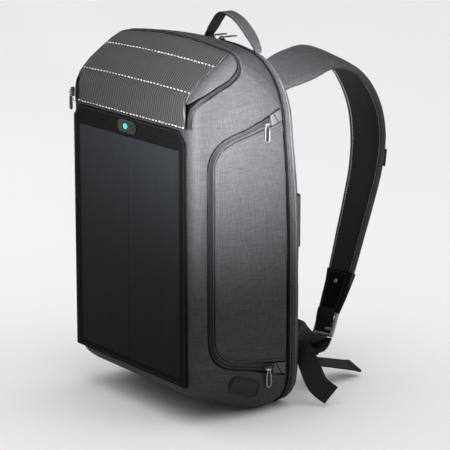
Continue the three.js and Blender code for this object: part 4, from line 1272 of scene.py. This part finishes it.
for name, slider_body, pull_body, along, out, hang in ZIPS:
    low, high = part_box(f"{name}_slider")
    along, out, hang = Vector(along).normalized(), Vector(out), Vector(hang)
    across = out.cross(along).normalized()
    off = along.cross(across)
    centre = (low + high) / 2
    place = centre - off * 1.8 * MM
    basis = Matrix((along, across, off)).transposed().to_4x4()
    basis.translation = place
    black = MATERIALS["zip_metal"]
    parts = [
        painted(prism("lower_plate", slider_outline(0), 0.0, 1.1, basis), black),
        painted(prism("upper_plate", slider_outline(-0.1), 2.0, 3.2, basis), black),
        painted(prism("post", [(-1.5, -1.6), (4.5, -1.0), (4.5, 1.0), (-1.5, 1.6)], 0.6, 2.4, basis, 0.3), black),
    ]
    arch = [(-4.2, 3.0), (-3.9, 4.6), (-2.6, 5.8), (0, 6.1), (2.6, 5.8), (3.9, 4.6), (4.2, 3.0)]
    bridge_path = [basis @ (Vector((x, 0, z)) * MM) for x, z in arch]
    path = resample([tuple(p) for p in bridge_path], 0.8)
    bridge = sweep("bridge", path, [tuple(off)] * len(path), flat_section(2.2, 1.0, 0.4))
    parts.append(painted(bridge, black if name.startswith(("laptop", "lid")) else BRIGHT_METAL))
    slider = joined_mesh(f"{name}_slider_body", parts)
    dress(slider, slider_body, "zip_metal", *slider.data.materials, stands_for=[f"{name}_slider"])

    low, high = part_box(f"{name}_pull")
    top = -hang
    beside = top.cross(out)
    centre = (low + high) / 2
    reach = (PULL["length"] + 0.4) / 2 - 0.4
    hinge = centre - hang * reach * MM
    basis = Matrix((beside, top, out)).transposed().to_4x4()
    basis.translation = hinge
    w, neck, tip = PULL["width"] / 2 - 0.7, PULL["neck"] / 2 - 0.6, PULL["length"]
    outline = [(-neck, 0.0), (-neck, -3.5), (-w, -8)]
    outline += [(-w * math.cos(t), -(tip - w - 0.7) - w * math.sin(t)) for t in np.linspace(0, math.pi, 9)]
    outline += [(w, -8), (neck, -3.5), (neck, 0.0)]
    ring_path = [tuple(basis @ (Vector((x, y, 0.0)) * MM)) for x, y in outline]
    ring_path = resample(ring_path, 1.0, closed=True)
    frame_metal = MATERIALS["zip_metal"] if name.startswith(("laptop", "lid")) else BRIGHT_METAL
    ring = sweep("ring", ring_path, [tuple(out)] * len(ring_path), round_section(0.6, 8), closed=True)
    ring = painted(ring, frame_metal)
    inner = [(x * 0.84, y if y > -6 else y * 0.975) for x, y in outline if y < -3]
    inner = [(-neck * 0.7, -5.5)] + inner[1:-1] + [(neck * 0.7, -5.5)]
    plate = painted(prism("plate", inner, -0.5, 0.5, basis, 0.2), MATERIALS["rubber"])
    parts = [ring, plate]
    for rib in (-11, -14, -17):
        line = [tuple(basis @ (Vector((x, rib, 0.55)) * MM)) for x in np.linspace(-2.2, 2.2, 5)]
        parts.append(painted(sweep("rib", line, [tuple(out)] * 5, round_section(0.45, 6)), MATERIALS["rubber"]))
    pull = joined_mesh(f"{name}_pull_tab", parts)
    dress(pull, pull_body, "zip_metal", *pull.data.materials, stands_for=[f"{name}_pull"])

# --- Floor, backdrop and light ---
floor_paint = Paint("studio_floor")
floor_cloud = floor_paint.noise(floor_paint.place()[1], 900.0, 2.0)
floor_tone = floor_paint.mix(floor_cloud, (0.86, 0.86, 0.86), (0.9, 0.9, 0.9))
floor_paint.finish(floor_tone, 0.9)
half = 20.0
low = -0.5 * MM
corners = [(-half, -half, low), (half, -half, low), (half, half, low), (-half, half, low)]
floor = build("studio_floor", corners, [(0, 1, 2, 3)], outward=False)
floor.data.materials.append(floor_paint.material)

world = bpy.data.worlds.new("studio")
world.use_nodes = True
sky = world.node_tree


def sky_node(kind, inputs, **settings):
    made = sky.nodes.new(kind)
    for name, value in settings.items():
        setattr(made, name, value)
    for socket, value in inputs.items():
        if isinstance(value, bpy.types.NodeSocket):
            sky.links.new(value, made.inputs[socket])
        else:
            made.inputs[socket].default_value = value
    return made.outputs[2 if kind == "ShaderNodeSeparateXYZ" else 0]


toward = sky_node("ShaderNodeSeparateXYZ", {0: sky_node("ShaderNodeTexCoord", {})})
overhead = sky_node("ShaderNodeMath", {0: sky_node("ShaderNodeClamp", {0: toward}), 1: 2.0}, operation="POWER")
skyline = sky_node("ShaderNodeMapRange", {"Value": toward, "From Min": 0.22, "From Max": 0.07, "To Max": 0.72})
lit = sky_node("ShaderNodeMath", {0: overhead, 1: 1.75, 2: skyline}, operation="MULTIPLY_ADD")
strength = sky_node("ShaderNodeMath", {0: lit, 1: 0.05}, operation="ADD")
sky.links.new(strength, sky.nodes["Background"].inputs["Strength"])
sky.nodes["Background"].inputs["Color"].default_value = (1, 1, 1, 1)
scene.world = world
scene.view_settings.view_transform = "Standard"


def softbox(name, place, target, size, power, spread=180):
    lamp = bpy.data.lights.new(name, "AREA")
    lamp.energy = power
    lamp.size = size
    lamp.spread = math.radians(spread)
    made = bpy.data.objects.new(name, lamp)
    scene.collection.objects.link(made)
    made.location = place
    made.rotation_euler = (Vector(target) - Vector(place)).to_track_quat("-Z", "Y").to_euler()


softbox("key", (1.63, -0.73, 0.47), (0.15, -0.115, 0.40), 0.2, 1.8, spread=12)
softbox("satin", (1.5, 1.05, 0.85), (0.1, 0, 0.4), 0.9, 3.5)
softbox("rim_left", (-2.0, -0.8, 1.3), (-0.1, -0.1, 0.4), 1.6, 6)
